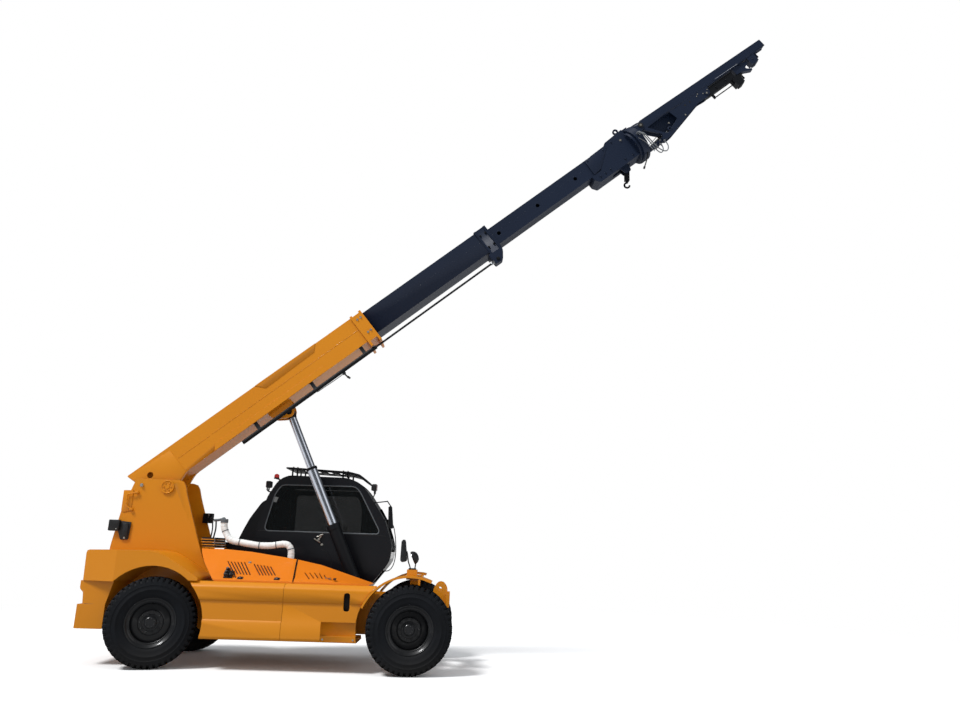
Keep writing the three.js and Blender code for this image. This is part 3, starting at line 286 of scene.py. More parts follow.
# ------------------------------------------------------------------ finishes
@dataclass(frozen=True)
class Finish:
    """What every finish has: a name, and the record's slot that it belongs to."""

    name: str
    slot: str

    def material(self) -> bpy.types.Material:
        """The finish's material."""
        raise NotImplementedError


@dataclass(frozen=True)
class Paint(Finish):
    """Sprayed paint with a little dust low down and on what faces up."""

    colour: str = "cc7d03"
    faded: str = "d78a0a"
    dust: str = "a07d40"
    dust_share: float = 0.12
    roughness: float = 0.38
    coat: float = 0.16
    gloss: float = 0.28
    edge: float = 0.006
    dust_top: float = 1.15

    @functools.cache
    def material(self) -> bpy.types.Material:
        """The paint's material."""
        shader = Shader(self.name)
        height = shader.axes()[2]
        cloud = shader.noise(0.7, 4.0)
        specks = shader.noise(42.0, 5.0)
        low = 1.0 - height.step(0.25, self.dust_top)
        up = shader.facing_up().step(0.35, 1.0)
        grime = ((0.75 * low + 0.35 * up) * (0.35 + specks) * self.dust_share).clamp()
        body = shader.mix((cloud - 0.35).clamp(), tint(self.colour), tint(self.faded))
        peel = shader.noise(160.0, 2.0)
        return shader.close({
            "Base Color": shader.mix(grime, body, tint(self.dust)),
            "Roughness": self.roughness + 0.10 * specks + 0.5 * grime,
            "Coat Weight": self.coat,
            "Coat Roughness": 0.12,
            "Specular IOR Level": self.gloss,
            "Normal": shader.relief(peel, 0.0006, 0.18, self.edge),
        })


@dataclass(frozen=True)
class Metal(Finish):
    """Bare or plated metal, drawn or turned along one way."""

    colour: str = "d5d8dc"
    roughness: float = 0.16
    stain: float = 0.25

    @functools.cache
    def material(self) -> bpy.types.Material:
        """The metal's material."""
        shader = Shader(self.name)
        film = shader.noise(9.0, 5.0)
        lines = shader.noise(240.0, 3.0)
        worn = shader.mix((film - 0.45).clamp() * self.stain, tint(self.colour), tint("6f6a62"))
        return shader.close({
            "Base Color": worn,
            "Metallic": 1.0,
            "Roughness": self.roughness + 0.16 * film * self.stain + 0.05 * lines,
            "Normal": shader.relief(lines, 0.0002, 0.12),
        })


@dataclass(frozen=True)
class Rubber(Finish):
    """Rubber with a chalky bloom and grainy dust low down."""

    colour: str = "0b0e13"
    bloom: str = "161a21"
    roughness: float = 0.72
    relief: float = 0.0012

    @functools.cache
    def material(self) -> bpy.types.Material:
        """The rubber's material."""
        shader = Shader(self.name)
        patch = shader.noise(3.2, 5.0)
        grain = shader.noise(95.0, 4.0)
        low = 1.0 - shader.axes()[2].step(0.0, 0.5)
        chalky = shader.mix((patch - 0.4).clamp() * 1.4, tint(self.colour), tint(self.bloom))
        dusty = shader.mix((low * grain * 0.45).clamp(), chalky, tint("3a3732"))
        return shader.close({
            "Base Color": dusty,
            "Roughness": self.roughness + 0.2 * (grain - 0.5),
            "Specular IOR Level": 0.22,
            "Normal": shader.relief(grain, self.relief, 0.3),
        })


@dataclass(frozen=True)
class Plastic(Finish):
    """Moulded plastic with a fine leathery grain."""

    colour: str = "17191d"
    roughness: float = 0.5
    grain: float = 0.25

    @functools.cache
    def material(self) -> bpy.types.Material:
        """The plastic's material."""
        shader = Shader(self.name)
        cells = shader.node("ShaderNodeTexVoronoi", {}, {"Vector": shader.place, "Scale": 320.0})
        pits = Value(shader, cells.outputs[0])
        wear = shader.noise(14.0, 4.0)
        return shader.close({
            "Base Color": shader.mix((wear - 0.45).clamp() * 0.6, tint(self.colour), tint("3c4046")),
            "Roughness": self.roughness + 0.15 * (wear - 0.5),
            "Normal": shader.relief(pits, 0.0004, self.grain),
        })


@dataclass(frozen=True)
class Lens(Finish):
    """Clear coloured plastic of a lamp, with moulded flutes."""

    colour: str = "d01218"
    glow: float = 0.25

    @functools.cache
    def material(self) -> bpy.types.Material:
        """The lens's material."""
        shader = Shader(self.name)
        waves = shader.node(
            "ShaderNodeTexWave", {"bands_direction": "Z"}, {"Vector": shader.place, "Scale": 55.0}
        )
        ribs = Value(shader, waves.outputs[1])
        return shader.close({
            "Base Color": shader.mix(0.35 * ribs, tint(self.colour), tint("ff6a5c")),
            "Roughness": 0.08 + 0.06 * ribs,
            "Emission Color": tint(self.colour),
            "Emission Strength": self.glow,
            "Coat Weight": 1.0,
            "Normal": shader.relief(ribs, 0.001, 0.35),
        })


@dataclass(frozen=True)
class Glass(Finish):
    """Dark tinted safety glass with a thin film of dust."""

    colour: str = "0b0f10"
    cover: float = 0.66

    @functools.cache
    def material(self) -> bpy.types.Material:
        """The glass's material."""
        shader = Shader(self.name)
        film = shader.noise(6.0, 5.0)
        dust = (film - 0.4).clamp()
        return shader.close({
            "Base Color": shader.mix(0.4 * dust, tint(self.colour), tint("242725")),
            "Roughness": 0.05 + 0.05 * dust,
            "IOR": 1.46,
            "Specular IOR Level": 0.6,
            "Alpha": self.cover + 0.1 * dust,
        })


@dataclass(frozen=True)
class Mirror(Finish):
    """Silvered mirror glass."""

    @functools.cache
    def material(self) -> bpy.types.Material:
        """The mirror's material."""
        shader = Shader(self.name)
        smear = shader.noise(20.0, 4.0)
        return shader.close({
            "Base Color": tint("dfe4e8"),
            "Metallic": 1.0,
            "Roughness": 0.02 + 0.08 * (smear - 0.5).clamp(),
        })


@dataclass(frozen=True)
class Cloth(Finish):
    """Woven seat cloth with crossing threads."""

    colour: str = "6d1f22"
    thread: str = "8d3a38"
    pitch: float = 620.0

    @functools.cache
    def material(self) -> bpy.types.Material:
        """The cloth's material."""
        shader = Shader(self.name)
        bands = [
            Value(shader, shader.node(
                "ShaderNodeTexWave", {"bands_direction": way},
                {"Vector": shader.place, "Scale": self.pitch / 6.3, "Distortion": 0.6, "Detail": 1.0},
            ).outputs[1])
            for way in ("Y", "DIAGONAL")
        ]
        weave = bands[0] * bands[1]
        wear = shader.noise(11.0, 4.0)
        return shader.close({
            "Base Color": shader.mix((0.7 * weave + 0.3 * wear).clamp(), tint(self.colour),
                                     tint(self.thread)),
            "Roughness": 0.86 + 0.1 * (wear - 0.5),
            "Sheen Weight": 0.4,
            "Normal": shader.relief(weave, 0.0012, 0.5),
        })


@dataclass(frozen=True)
class Wrap(Finish):
    """White heat wrap wound round a pipe, soiled in patches."""

    colour: str = "e8e8e6"
    soil: str = "a9a59b"

    @functools.cache
    def material(self) -> bpy.types.Material:
        """The wrap's material."""
        shader = Shader(self.name)
        patch = shader.noise(16.0, 5.0)
        threads = shader.noise(190.0, 3.0)
        return shader.close({
            "Base Color": shader.mix((patch - 0.42).clamp() * 1.3, tint(self.colour), tint(self.soil)),
            "Roughness": 0.68 + 0.2 * (threads - 0.5),
            "Normal": shader.relief(threads + 0.6 * patch, 0.0016, 0.45),
        })


YELLOW = Paint("yellow_paint", "yellow_paint")
ORANGE = Paint("hood_paint", "yellow_paint", colour="d87206", faded="e07e0e")
NAVY = Paint("navy_paint", "navy_paint", colour="121d31", faded="18263d", dust="2c3442", dust_share=0.25,
             roughness=0.42, coat=0.0, gloss=0.25, edge=0.004)
BLACK = Paint("black_paint", "black_paint", colour="0b0e13", faded="12161c", dust="2e2c29", dust_share=0.25,
              roughness=0.45, coat=0.0, gloss=0.22, edge=0.003)
RIM = Paint("rim_paint", "black_paint", colour="0b0e13", faded="101419", dust="26231f", dust_share=0.2,
            roughness=0.34, coat=0.3, gloss=0.35)
CAB_BLACK = Paint("cab_paint", "black_paint", colour="0a0d14", faded="10141d", dust="2a2a2c",
                  dust_share=0.15,
                  roughness=0.32, coat=0.1, gloss=0.3, edge=0.006)
TYRE = Rubber("tyre_rubber", "tyre_rubber")
HOSE = Rubber("hose_rubber", "hose_rubber", colour="0a0b0c", bloom="151719", roughness=0.6, relief=0.0004)
GREY_HOSE = Rubber("grey_hose", "hose_rubber", colour="6d7174", bloom="85898c", roughness=0.5,
                   relief=0.0004)
SEAL = Rubber("grey_seal", "hose_rubber", colour="595e62", bloom="74797d", roughness=0.5, relief=0.0004)
CHROME = Metal("chrome_rod", "chrome_rod", colour="c9cfda", roughness=0.16)
STEEL = Metal("bright_steel", "bright_steel", colour="9da1a5", roughness=0.3, stain=0.5)
ZINC = Metal("zinc_bolt", "bright_steel", colour="c9c7bf", roughness=0.34, stain=0.4)
GLASS = Glass("cab_glass", "cab_glass")
MIRROR = Mirror("mirror_glass", "bright_steel")
RED = Lens("red_lens", "red_lens", colour="b80d16", glow=0.12)
CLEAR = Lens("clear_lens", "cab_glass", colour="a9aeb2", glow=0.03)
TRIM = Plastic("black_plastic", "black_paint", colour="0d0f12")
CLOTH = Cloth("seat_cloth", "seat_cloth")
WRAP = Wrap("white_wrap", "white_wrap")
# Near-black matt plastic put inside slots and holes as painted shade, where the openings would be in
# shadow.
PAINTED_SHADE = Plastic("painted_shade_black", "black_paint", colour="050506", roughness=0.85)

SLOT_FINISH = {
    "yellow_paint": YELLOW, "navy_paint": NAVY, "black_paint": BLACK, "tyre_rubber": TYRE,
    "bright_steel": STEEL, "chrome_rod": CHROME, "cab_glass": GLASS, "red_lens": RED,
    "seat_cloth": CLOTH, "white_wrap": WRAP, "hose_rubber": HOSE,
}
NODE_FINISH = {
    "engine_hood": ORANGE, "front_hood": ORANGE, "cab_shell": CAB_BLACK, "cab_door": CAB_BLACK,
    "cab_rear_hatch": CAB_BLACK, "extension_rod": BLACK,
}


# ------------------------------------------------------------------ places taken from the record
JOINTS = {joint["name"]: joint for joint in frame["joints"]}
NODE_BODY = {
    node: body for body, nodes in frame["record"]["behaviour"]["bodies"].items() for node in nodes
}
NODE_SLOT = {part["node"]: part["material_slot"] for part in frame["record"]["subparts"]}
WHEELBASE = 3.640
FRONT_AXLE_X = JOINTS["steer_front_right"]["pos_m"][0]


def axes_place(origin: Point, along: Point, across: Point) -> Matrix:
    """A place with its local X along one way and its local Y as near another as it can be.

    Args:
        origin: where the place is.
        along: the way of local X.
        across: about the way of local Y.

    Returns:
        The matrix from local to machine coordinates.
    """
    x = Vector(along).normalized()
    z = x.cross(Vector(across)).normalized()
    y = z.cross(x)
    turn = Matrix((x, y, z)).transposed().to_4x4()
    return Matrix.Translation(Vector(origin)) @ turn


MACHINE = Matrix.Translation((FRONT_AXLE_X - WHEELBASE, 0, 0))
BOOM = axes_place(JOINTS["boom_lift"]["pos_m"], JOINTS["boom_extend"]["axis"], (0, 1, 0))
LIFT = axes_place(JOINTS["lift_barrel_swing"]["pos_m"], JOINTS["lift_stage_slide"]["axis"], (0, 1, 0))
TILT = axes_place(JOINTS["tilt_barrel_swing"]["pos_m"], JOINTS["tilt_rod_slide"]["axis"], (0, 1, 0))
LIFT_EYE = (2.162, 0, -0.093)
ACROSS = Matrix.Rotation(math.pi / 2, 4, "Z")
OUTWARD = Matrix.Rotation(-math.pi / 2, 4, "Y")
HEAD_AXIS_UP = 0.205
SEAM_SIDES = 8


# ------------------------------------------------------------------ modelling
def around(count: int, radius: float, phase: float = 0.0) -> list[tuple[float, float]]:
    """Points evenly spread round a circle.

    Args:
        count: how many points.
        radius: the circle's radius, in metres.
        phase: where the first one is, as a share of the gap between two.

    Returns:
        Each point's two offsets from the middle.
    """
    angles = [2 * math.pi * (i + phase) / count for i in range(count)]
    return [(radius * math.cos(angle), radius * math.sin(angle)) for angle in angles]


def direction_place(start: Point, end: Point) -> Matrix:
    """A place at the middle of a line, with local Z along it.

    Args:
        start: the line's start.
        end: the line's end.

    Returns:
        The matrix from local coordinates to the line's.
    """
    first, last = Vector(start), Vector(end)
    turn = (last - first).to_track_quat("Z", "Y").to_matrix().to_4x4()
    return Matrix.Translation((first + last) / 2) @ turn


def rounded(points: Sequence[Point], steps: int = 4) -> list[Vector]:
    """A closed outline with round corners.

    Args:
        points: corners as (x, z) or (x, z, radius), in metres.
        steps: straight pieces in each round corner.

    Returns:
        The outline's points in the plane y = 0.
    """
    result: list[Vector] = []
    for i, point in enumerate(points):
        here = Vector((point[0], 0, point[1]))
        radius = point[2] if len(point) > 2 else 0.0
        if radius <= 0:
            result.append(here)
            continue
        ends = []
        for near in (points[i - 1], points[(i + 1) % len(points)]):
            way = Vector((near[0], 0, near[1])) - here
            ends.append(here + way.normalized() * min(radius, way.length / 2))
        for step in range(steps + 1):
            t = step / steps
            result.append(ends[0] * (1 - t) ** 2 + here * 2 * t * (1 - t) + ends[1] * t ** 2)
    return result


def smooth_route(points: Sequence[Point], steps: int = 6) -> list[Vector]:
    """Points along the centripetal curve through a route.

    Args:
        points: the route's points.
        steps: pieces between two of them.

    Returns:
        The curve's points.
    """
    knots = [Vector(p) for p in points]
    knots = [2 * knots[0] - knots[1], *knots, 2 * knots[-1] - knots[-2]]
    result = []
    for i in range(1, len(knots) - 2):
        group = knots[i - 1:i + 3]
        times = [0.0]
        for a, b in zip(group, group[1:]):
            times.append(times[-1] + math.sqrt(max((b - a).length, 1e-9)))
        for step in range(steps):
            t = times[1] + (times[2] - times[1]) * step / steps
            level, reach = group, 1
            while len(level) > 1:
                level = [
                    a.lerp(b, (t - times[k]) / (times[k + reach] - times[k]))
                    for k, (a, b) in enumerate(zip(level, level[1:]))
                ]
                reach += 1
            result.append(level[0])
    result.append(knots[-2])
    return result


class Form:
    """One piece's mesh while it is modelled, in metres."""

    def __init__(self, place: Matrix | None = None) -> None:
        """Starts an empty form.

        Args:
            place: where the coordinates of what is added are measured from.
        """
        self.mesh = bmesh.new()
        self.place = place or Matrix.Identity(4)

    def take(self, part: bmesh.types.BMesh, place: Matrix | None = None) -> "Form":
        """Adds a finished part to the form and frees it.

        Args:
            part: the part.
            place: where it goes, from the form's own place.

        Returns:
            The form.
        """
        part.transform(self.place @ (place or Matrix.Identity(4)))
        carrier = bpy.data.meshes.new("carrier")
        part.to_mesh(carrier)
        part.free()
        self.mesh.from_mesh(carrier)
        bpy.data.meshes.remove(carrier)
        return self

    @staticmethod
    def soften(part: bmesh.types.BMesh, radius: float, segments: int = 2, angle: float = 0.5) -> None:
        """Rounds a part's sharp edges.

        Args:
            part: the part.
            radius: the rounding, in metres.
            segments: faces across each rounded edge.
            angle: least bend of an edge that is rounded, in radians.
        """
        edges = [e for e in part.edges if len(e.link_faces) == 2 and e.calc_face_angle() > angle]
        bmesh.ops.bevel(part, geom=edges, offset=radius, offset_type="OFFSET", segments=segments,
                        profile=0.5, material=-1, affect="EDGES")

    def block(self, low: Point, high: Point, rounding: float = 0.0, place: Matrix | None = None) -> "Form":
        """Adds a box.

        Args:
            low: its low corner.
            high: its high corner.
            rounding: the rounding of its edges, in metres.
            place: where it goes.

        Returns:
            The form.
        """
        part = bmesh.new()
        first, last = Vector(low), Vector(high)
        size = Matrix.Diagonal((*(last - first), 1.0))
        bmesh.ops.create_cube(part, size=1.0, matrix=Matrix.Translation((first + last) / 2) @ size)
        bmesh.ops.recalc_face_normals(part, faces=part.faces)
        if rounding > 0:
            self.soften(part, rounding)
        return self.take(part, place)

    def rod(self, start: Point, end: Point, radius: float, end_radius: float | None = None,
            sides: int = 20, rounding: float = 0.0, place: Matrix | None = None) -> "Form":
        """Adds a round bar or cone.

        Args:
            start: the middle of its first end.
            end: the middle of its other end.
            radius: the first end's radius.
            end_radius: the other end's radius, the same if left out.
            sides: faces round it.
            rounding: the rounding of its rims, in metres.
            place: where it goes.

        Returns:
            The form.
        """
        part = bmesh.new()
        length = (Vector(end) - Vector(start)).length
        bmesh.ops.create_cone(part, cap_ends=True, segments=sides, radius1=radius,
                              radius2=radius if end_radius is None else end_radius, depth=length,
                              matrix=direction_place(start, end))
        if rounding > 0:
            self.soften(part, rounding, angle=1.0)
        return self.take(part, place)

    def bolt(self, foot: Point, way: Point, size: float) -> "Form":
        """Adds a hexagon bolt head with its washer.

        Args:
            foot: the middle of the washer's seat.
            way: the way the head points.
            size: the head's half width.

        Returns:
            The form.
        """
        first, out = Vector(foot), Vector(way).normalized()
        self.rod(first, first + out * size * 0.3, size * 1.35, sides=14)
        return self.rod(first, first + out * size * 1.15, size, size * 0.94, sides=6)

    def turned(self, profile: Sequence[Point], place: Matrix | None = None, sides: int = 48,
               closed: bool = False) -> "Form":
        """Adds a piece turned about local X.

        Args:
            profile: (distance along X, radius) pairs.
            place: where the piece goes.
            sides: faces round the piece.
            closed: whether the profile's last point joins its first, as for a ring.

        Returns:
            The form.
        """
        part = bmesh.new()
        verts = [part.verts.new((x, radius, 0)) for x, radius in profile]
        pairs = list(zip(verts, verts[1:] + verts[:1])) if closed else list(zip(verts, verts[1:]))
        edges = [part.edges.new(pair) for pair in pairs]
        bmesh.ops.spin(part, geom=verts + edges, axis=(1, 0, 0), cent=(0, 0, 0), angle=2 * math.pi,
                       steps=sides, use_merge=True)
        bmesh.ops.remove_doubles(part, verts=part.verts, dist=1e-6)
        bmesh.ops.recalc_face_normals(part, faces=part.faces)
        return self.take(part, place)

    def plate(self, points: Sequence[Point], y0: float, y1: float, rounding: float = 0.0,
              place: Matrix | None = None) -> "Form":
        """Adds a flat plate.

        Args:
            points: its corners as (x, z) or (x, z, radius).
            y0: where one face is.
            y1: where the other face is.
            rounding: the rounding of its edges, in metres.
            place: where it goes.

        Returns:
            The form.
        """
        part = bmesh.new()
        low = min(y0, y1)
        verts = [part.verts.new(p + Vector((0, low, 0))) for p in rounded(points)]
        face = bmesh.ops.contextual_create(part, geom=verts)["faces"]
        grown = bmesh.ops.extrude_face_region(part, geom=face)["geom"]
        moved = [v for v in grown if isinstance(v, bmesh.types.BMVert)]
        bmesh.ops.translate(part, vec=(0, abs(y1 - y0), 0), verts=moved)
        bmesh.ops.recalc_face_normals(part, faces=part.faces)
        if rounding > 0:
            self.soften(part, rounding)
        return self.take(part, place)

    def pipe(self, route: Sequence[Point], radius: float | Callable[[float], float], sides: int = 14,
             place: Matrix | None = None) -> "Form":
        """Adds a round pipe along a line of points.

        Args:
            route: the points of its middle line.
            radius: its radius, or a function of the distance along it.
            sides: faces round it.
            place: where it goes.

        Returns:
            The form.
        """
        part = bmesh.new()
        line = [Vector(p) for p in route]
        ways = [(b - a).normalized() for a, b in zip(line, line[1:])]
        ways = [ways[0], *[(a + b).normalized() for a, b in zip(ways, ways[1:])], ways[-1]]
        turn = ways[0].to_track_quat("Z", "Y")
        rings, distance = [], 0.0
        for i, (point, way) in enumerate(zip(line, ways)):
            if i > 0:
                turn = ways[i - 1].rotation_difference(way) @ turn
                distance += (point - line[i - 1]).length
            size = radius(distance) if callable(radius) else radius
            matrix = Matrix.Translation(point) @ turn.to_matrix().to_4x4()
            ring = bmesh.ops.create_circle(part, cap_ends=i in (0, len(line) - 1), segments=sides,
                                           radius=size, matrix=matrix)["verts"]
            own = set(ring)
            rings.append([e for e in {e for v in ring for e in v.link_edges} if set(e.verts) <= own])
        for first, second in zip(rings, rings[1:]):
            bmesh.ops.bridge_loops(part, edges=first + second)
        bmesh.ops.recalc_face_normals(part, faces=part.faces)
        return self.take(part, place)

    def cut(self, cutter: "Form") -> "Form":
        """Takes another form away from this one.

        Args:
            cutter: what is taken away.

        Returns:
            The form.
        """
        data = bpy.data.meshes.new("blank")
        self.mesh.to_mesh(data)
        self.mesh.clear()
        self.mesh.from_mesh(carve(data, cutter))
        return self

    def finish(self, name: str, finish: Finish, body: str, replaces: Iterable[str] = (),
               smooth: float = 35.0) -> bpy.types.Object:
        """Turns the form into a piece that rides on a body.

        Args:
            name: the piece's name.
            finish: its finish.
            body: the CAD body it moves with.
            replaces: CAD nodes that it stands for.
            smooth: greatest bend that is shaded smooth, in degrees.

        Returns:
            The piece.
        """
        data = bpy.data.meshes.new(name)
        self.mesh.to_mesh(data)
        self.mesh.free()
        return dress(data, name, finish, body, replaces, smooth)


def dress(data: bpy.types.Mesh, name: str, finish: Finish, body: str, replaces: Iterable[str] = (),
          smooth: float = 35.0) -> bpy.types.Object:
    """Makes a finished piece of a mesh.

    Args:
        data: the mesh, in the machine's frame.
        name: the piece's name.
        finish: its finish.
        body: the CAD body it moves with.
        replaces: CAD nodes that it stands for.
        smooth: greatest bend that is shaded smooth, in degrees.

    Returns:
        The piece.
    """
    data.shade_smooth()
    data.set_sharp_from_angle(angle=math.radians(smooth))
    data.materials.clear()
    data.materials.append(finish.material())
    piece = bpy.data.objects.new(name, data)
    bpy.context.scene.collection.objects.link(piece)
    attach(piece, body)
    if replaces:
        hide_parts(*replaces)
    log.info("%s on %s: %d faces", name, body, len(data.polygons))
    return piece


def merged_copy(node: str) -> bpy.types.Mesh:
    """A copy of a CAD node's mesh with its loose triangles joined.

    Args:
        node: the CAD node.

    Returns:
        The merged mesh.
    """
    part = bmesh.new()
    part.from_mesh(frame["nodes"][node].data)
    bmesh.ops.remove_doubles(part, verts=part.verts, dist=2e-5)
    bmesh.ops.dissolve_limit(part, angle_limit=math.radians(0.6), verts=part.verts, edges=part.edges)
    data = bpy.data.meshes.new(node)
    part.to_mesh(data)
    part.free()
    return data


def carve(data: bpy.types.Mesh, cutter: Form) -> bpy.types.Mesh:
    """Cuts a form out of a mesh.

    Args:
        data: the mesh that is cut.
        cutter: what is taken away.

    Returns:
        The cut mesh.
    """
    tool_data = bpy.data.meshes.new("cutter")
    cutter.mesh.to_mesh(tool_data)
    cutter.mesh.free()
    scene = bpy.context.scene.collection.objects
    tool = bpy.data.objects.new("cutter", tool_data)
    blank = bpy.data.objects.new("blank", data)
    scene.link(tool)
    scene.link(blank)
    cut = blank.modifiers.new("cut", "BOOLEAN")
    cut.operation = "DIFFERENCE"
    cut.solver = "EXACT"
    cut.object = tool
    bpy.context.view_layer.update()
    shaped = blank.evaluated_get(bpy.context.evaluated_depsgraph_get())
    result = bpy.data.meshes.new_from_object(shaped)
    for leftover in (tool, blank):
        bpy.data.objects.remove(leftover)
    bpy.data.meshes.remove(tool_data)
    return result


# ------------------------------------------------------------------ wheels
@dataclass
class Wheel:
    """A lugged tyre on a dished steel rim, turning about its spindle."""

    corner: str
    dish: float
    side: Side = Side.RIGHT
    radius: float = 0.621
    half_width: float = 0.190
    rim_radius: float = 0.318
    barrel: float = 0.282
    lugs: int = 46
    lug_depth: float = 0.030
    nuts: int = 10
    nut_circle: float = 0.143
    hub_bolts: int = 8
    hub_circle: float = 0.056
    place: Matrix = field(init=False)

    def __post_init__(self) -> None:
        """Finds the wheel's place: local X points outboard along the axle."""
        joint = JOINTS[f"wheel_{self.corner}"]
        outboard = Vector(joint["axis"]) * self.side.value
        middle = Vector(joint["pos_m"])
        middle.z = self.radius
        self.place = axes_place(middle, outboard, Vector((0, 0, 1)).cross(outboard))

    def tyre(self) -> bpy.types.Object:
        """Builds the tyre: carcass, sidewall rings and tread lugs."""
        form = Form(self.place)
        base = self.radius - self.lug_depth
        half, bead = self.half_width, self.rim_radius + 0.006
        wall = [
            (half - 0.040, bead), (half - 0.026, bead + 0.010), (half - 0.022, bead + 0.022),
            (half - 0.014, bead + 0.030), (half - 0.004, bead + 0.070), (half, bead + 0.120),
            (half + 0.003, bead + 0.124), (half + 0.003, bead + 0.132), (half, bead + 0.136),
            (half - 0.002, bead + 0.180), (half + 0.001, bead + 0.184), (half + 0.001, bead + 0.192),
            (half - 0.005, bead + 0.196), (half - 0.012, bead + 0.235), (half - 0.026, base - 0.030),
            (half - 0.048, base - 0.006), (half - 0.075, base),
        ]
        profile = wall + [(-x, r) for x, r in reversed(wall)]
        form.turned(profile, sides=96, closed=True)
        for i in range(self.lugs):
            angle = 2 * math.pi * i / self.lugs
            for flip in (-1, 1):
                self.lug(form, angle + (0 if flip > 0 else math.pi / self.lugs), flip)
        return form.finish(f"{self.corner}_tyre", TYRE, f"wheel_{self.corner}", [f"tyre_{self.corner}"])

    def lug(self, form: Form, angle: float, flip: int) -> None:
        """Adds a shoulder lug with its foot down the sidewall and a middle block.

        Args:
            form: the tyre's form.
            angle: where round the tyre the lug is.
            flip: 1 for the outboard half, -1 for the inboard half.
        """
        place = Matrix.Rotation(angle, 4, "X") @ Matrix.Diagonal((flip, 1, 1, 1))
        pitch = 2 * math.pi * self.radius / self.lugs
        base, half = self.radius - self.lug_depth, self.half_width
        level = (self.radius + base) / 2
        for name, size, at, lean, axis, rounding in (
            ("shoulder", (0.072, pitch * 0.56, self.lug_depth + 0.010), (half - 0.072, 0, level - 0.005),
             12 * flip, "Z", 0.0025),
            ("foot", (0.020, pitch * 0.50, 0.100), (half - 0.020, 0, base - 0.040), -13, "Y", 0.004),
            ("middle", (0.058, pitch * 0.60, self.lug_depth + 0.004), (0.036, pitch * 0.35, level - 0.003),
             -28, "Z", 0.0025),
        ):
            block = bmesh.new()
            turn = Matrix.Rotation(math.radians(lean), 4, axis)
            matrix = Matrix.Translation(at) @ turn @ Matrix.Diagonal((*size, 1.0))
            bmesh.ops.create_cube(block, size=1.0, matrix=matrix)
            if name == "shoulder":
                outer = [v for v in block.verts if v.co.x > half - 0.07]
                high, low = ([v for v in outer if (v.co.z > base) is top] for top in (True, False))
                bmesh.ops.translate(block, verts=high, vec=(-0.008, 0, -0.012))
                bmesh.ops.translate(block, verts=low, vec=(0.014, 0, -0.030))
            Form.soften(block, rounding, segments=1)
            if flip < 0:
                bmesh.ops.reverse_faces(block, faces=block.faces)
            form.take(block, place)

    def rim(self) -> bpy.types.Object:
        """Builds the rim: flange, well, dished disc, hub, nuts and valve."""
        form = Form(self.place)
        edge, barrel, lip, dish = self.half_width - 0.032, self.barrel, self.rim_radius + 0.020, self.dish
        form.turned([
            (dish - 0.030, barrel), (dish - 0.006, barrel - 0.010), (dish + 0.004, 0.240),
            (dish + 0.002, 0.190),
            (dish + 0.012, 0.172), (dish + 0.034, 0.165), (dish + 0.036, 0.125), (dish + 0.036, 0.060),
            (dish + 0.024, 0.056), (dish + 0.024, 0.120), (dish - 0.012, 0.180), (dish - 0.012, 0.240),
            (dish - 0.024, barrel - 0.018), (dish - 0.040, barrel - 0.006),
        ], sides=72)
        form.turned([
            (-edge - 0.004, lip), (-edge - 0.010, lip - 0.010), (-edge + 0.004, lip - 0.036),
            (-edge, barrel - 0.004),
            (edge - 0.062, barrel - 0.004), (edge - 0.050, barrel - 0.012), (edge - 0.026, barrel - 0.012),
            (edge - 0.018, barrel - 0.004), (edge - 0.020, barrel + 0.010), (edge - 0.012, barrel + 0.022),
            (edge - 0.004, lip - 0.022), (edge + 0.006, lip - 0.014), (edge + 0.013, lip - 0.006),
            (edge + 0.014, lip + 0.002), (edge + 0.008, lip + 0.006), (edge, lip),
            (edge - 0.010, lip - 0.012),
            (edge - 0.030, barrel + 0.024), (edge - 0.070, barrel + 0.008), (-edge + 0.030, barrel + 0.008),
            (-edge + 0.012, lip - 0.026),
        ], sides=96, closed=True)
        hub = dish + 0.036
        form.turned([
            (hub - 0.002, 0.118), (hub + 0.010, 0.112), (hub + 0.014, 0.086), (hub + 0.042, 0.080),
            (hub + 0.050, 0.070), (hub + 0.050, 0.0),
        ])
        for spot in around(self.nuts, self.nut_circle):
            foot = Vector((dish + 0.034, *spot))
            form.bolt(foot, (1, 0, 0), 0.014)
            form.rod(foot, foot + Vector((0.026, 0, 0)), 0.007, sides=8)
        for spot in around(self.hub_bolts, self.hub_circle, 0.5):
            form.bolt((hub + 0.050, *spot), (1, 0, 0), 0.007)
        form.pipe([(dish - 0.004, 0, 0.255), (dish + 0.020, 0, 0.252), (dish + 0.040, 0, 0.236)], 0.005,
                  sides=8)
        return form.finish(f"{self.corner}_rim", RIM, f"wheel_{self.corner}", [f"rim_{self.corner}"])

    def build(self) -> None:
        """Builds the wheel's pieces."""
        self.tyre()
        self.rim()


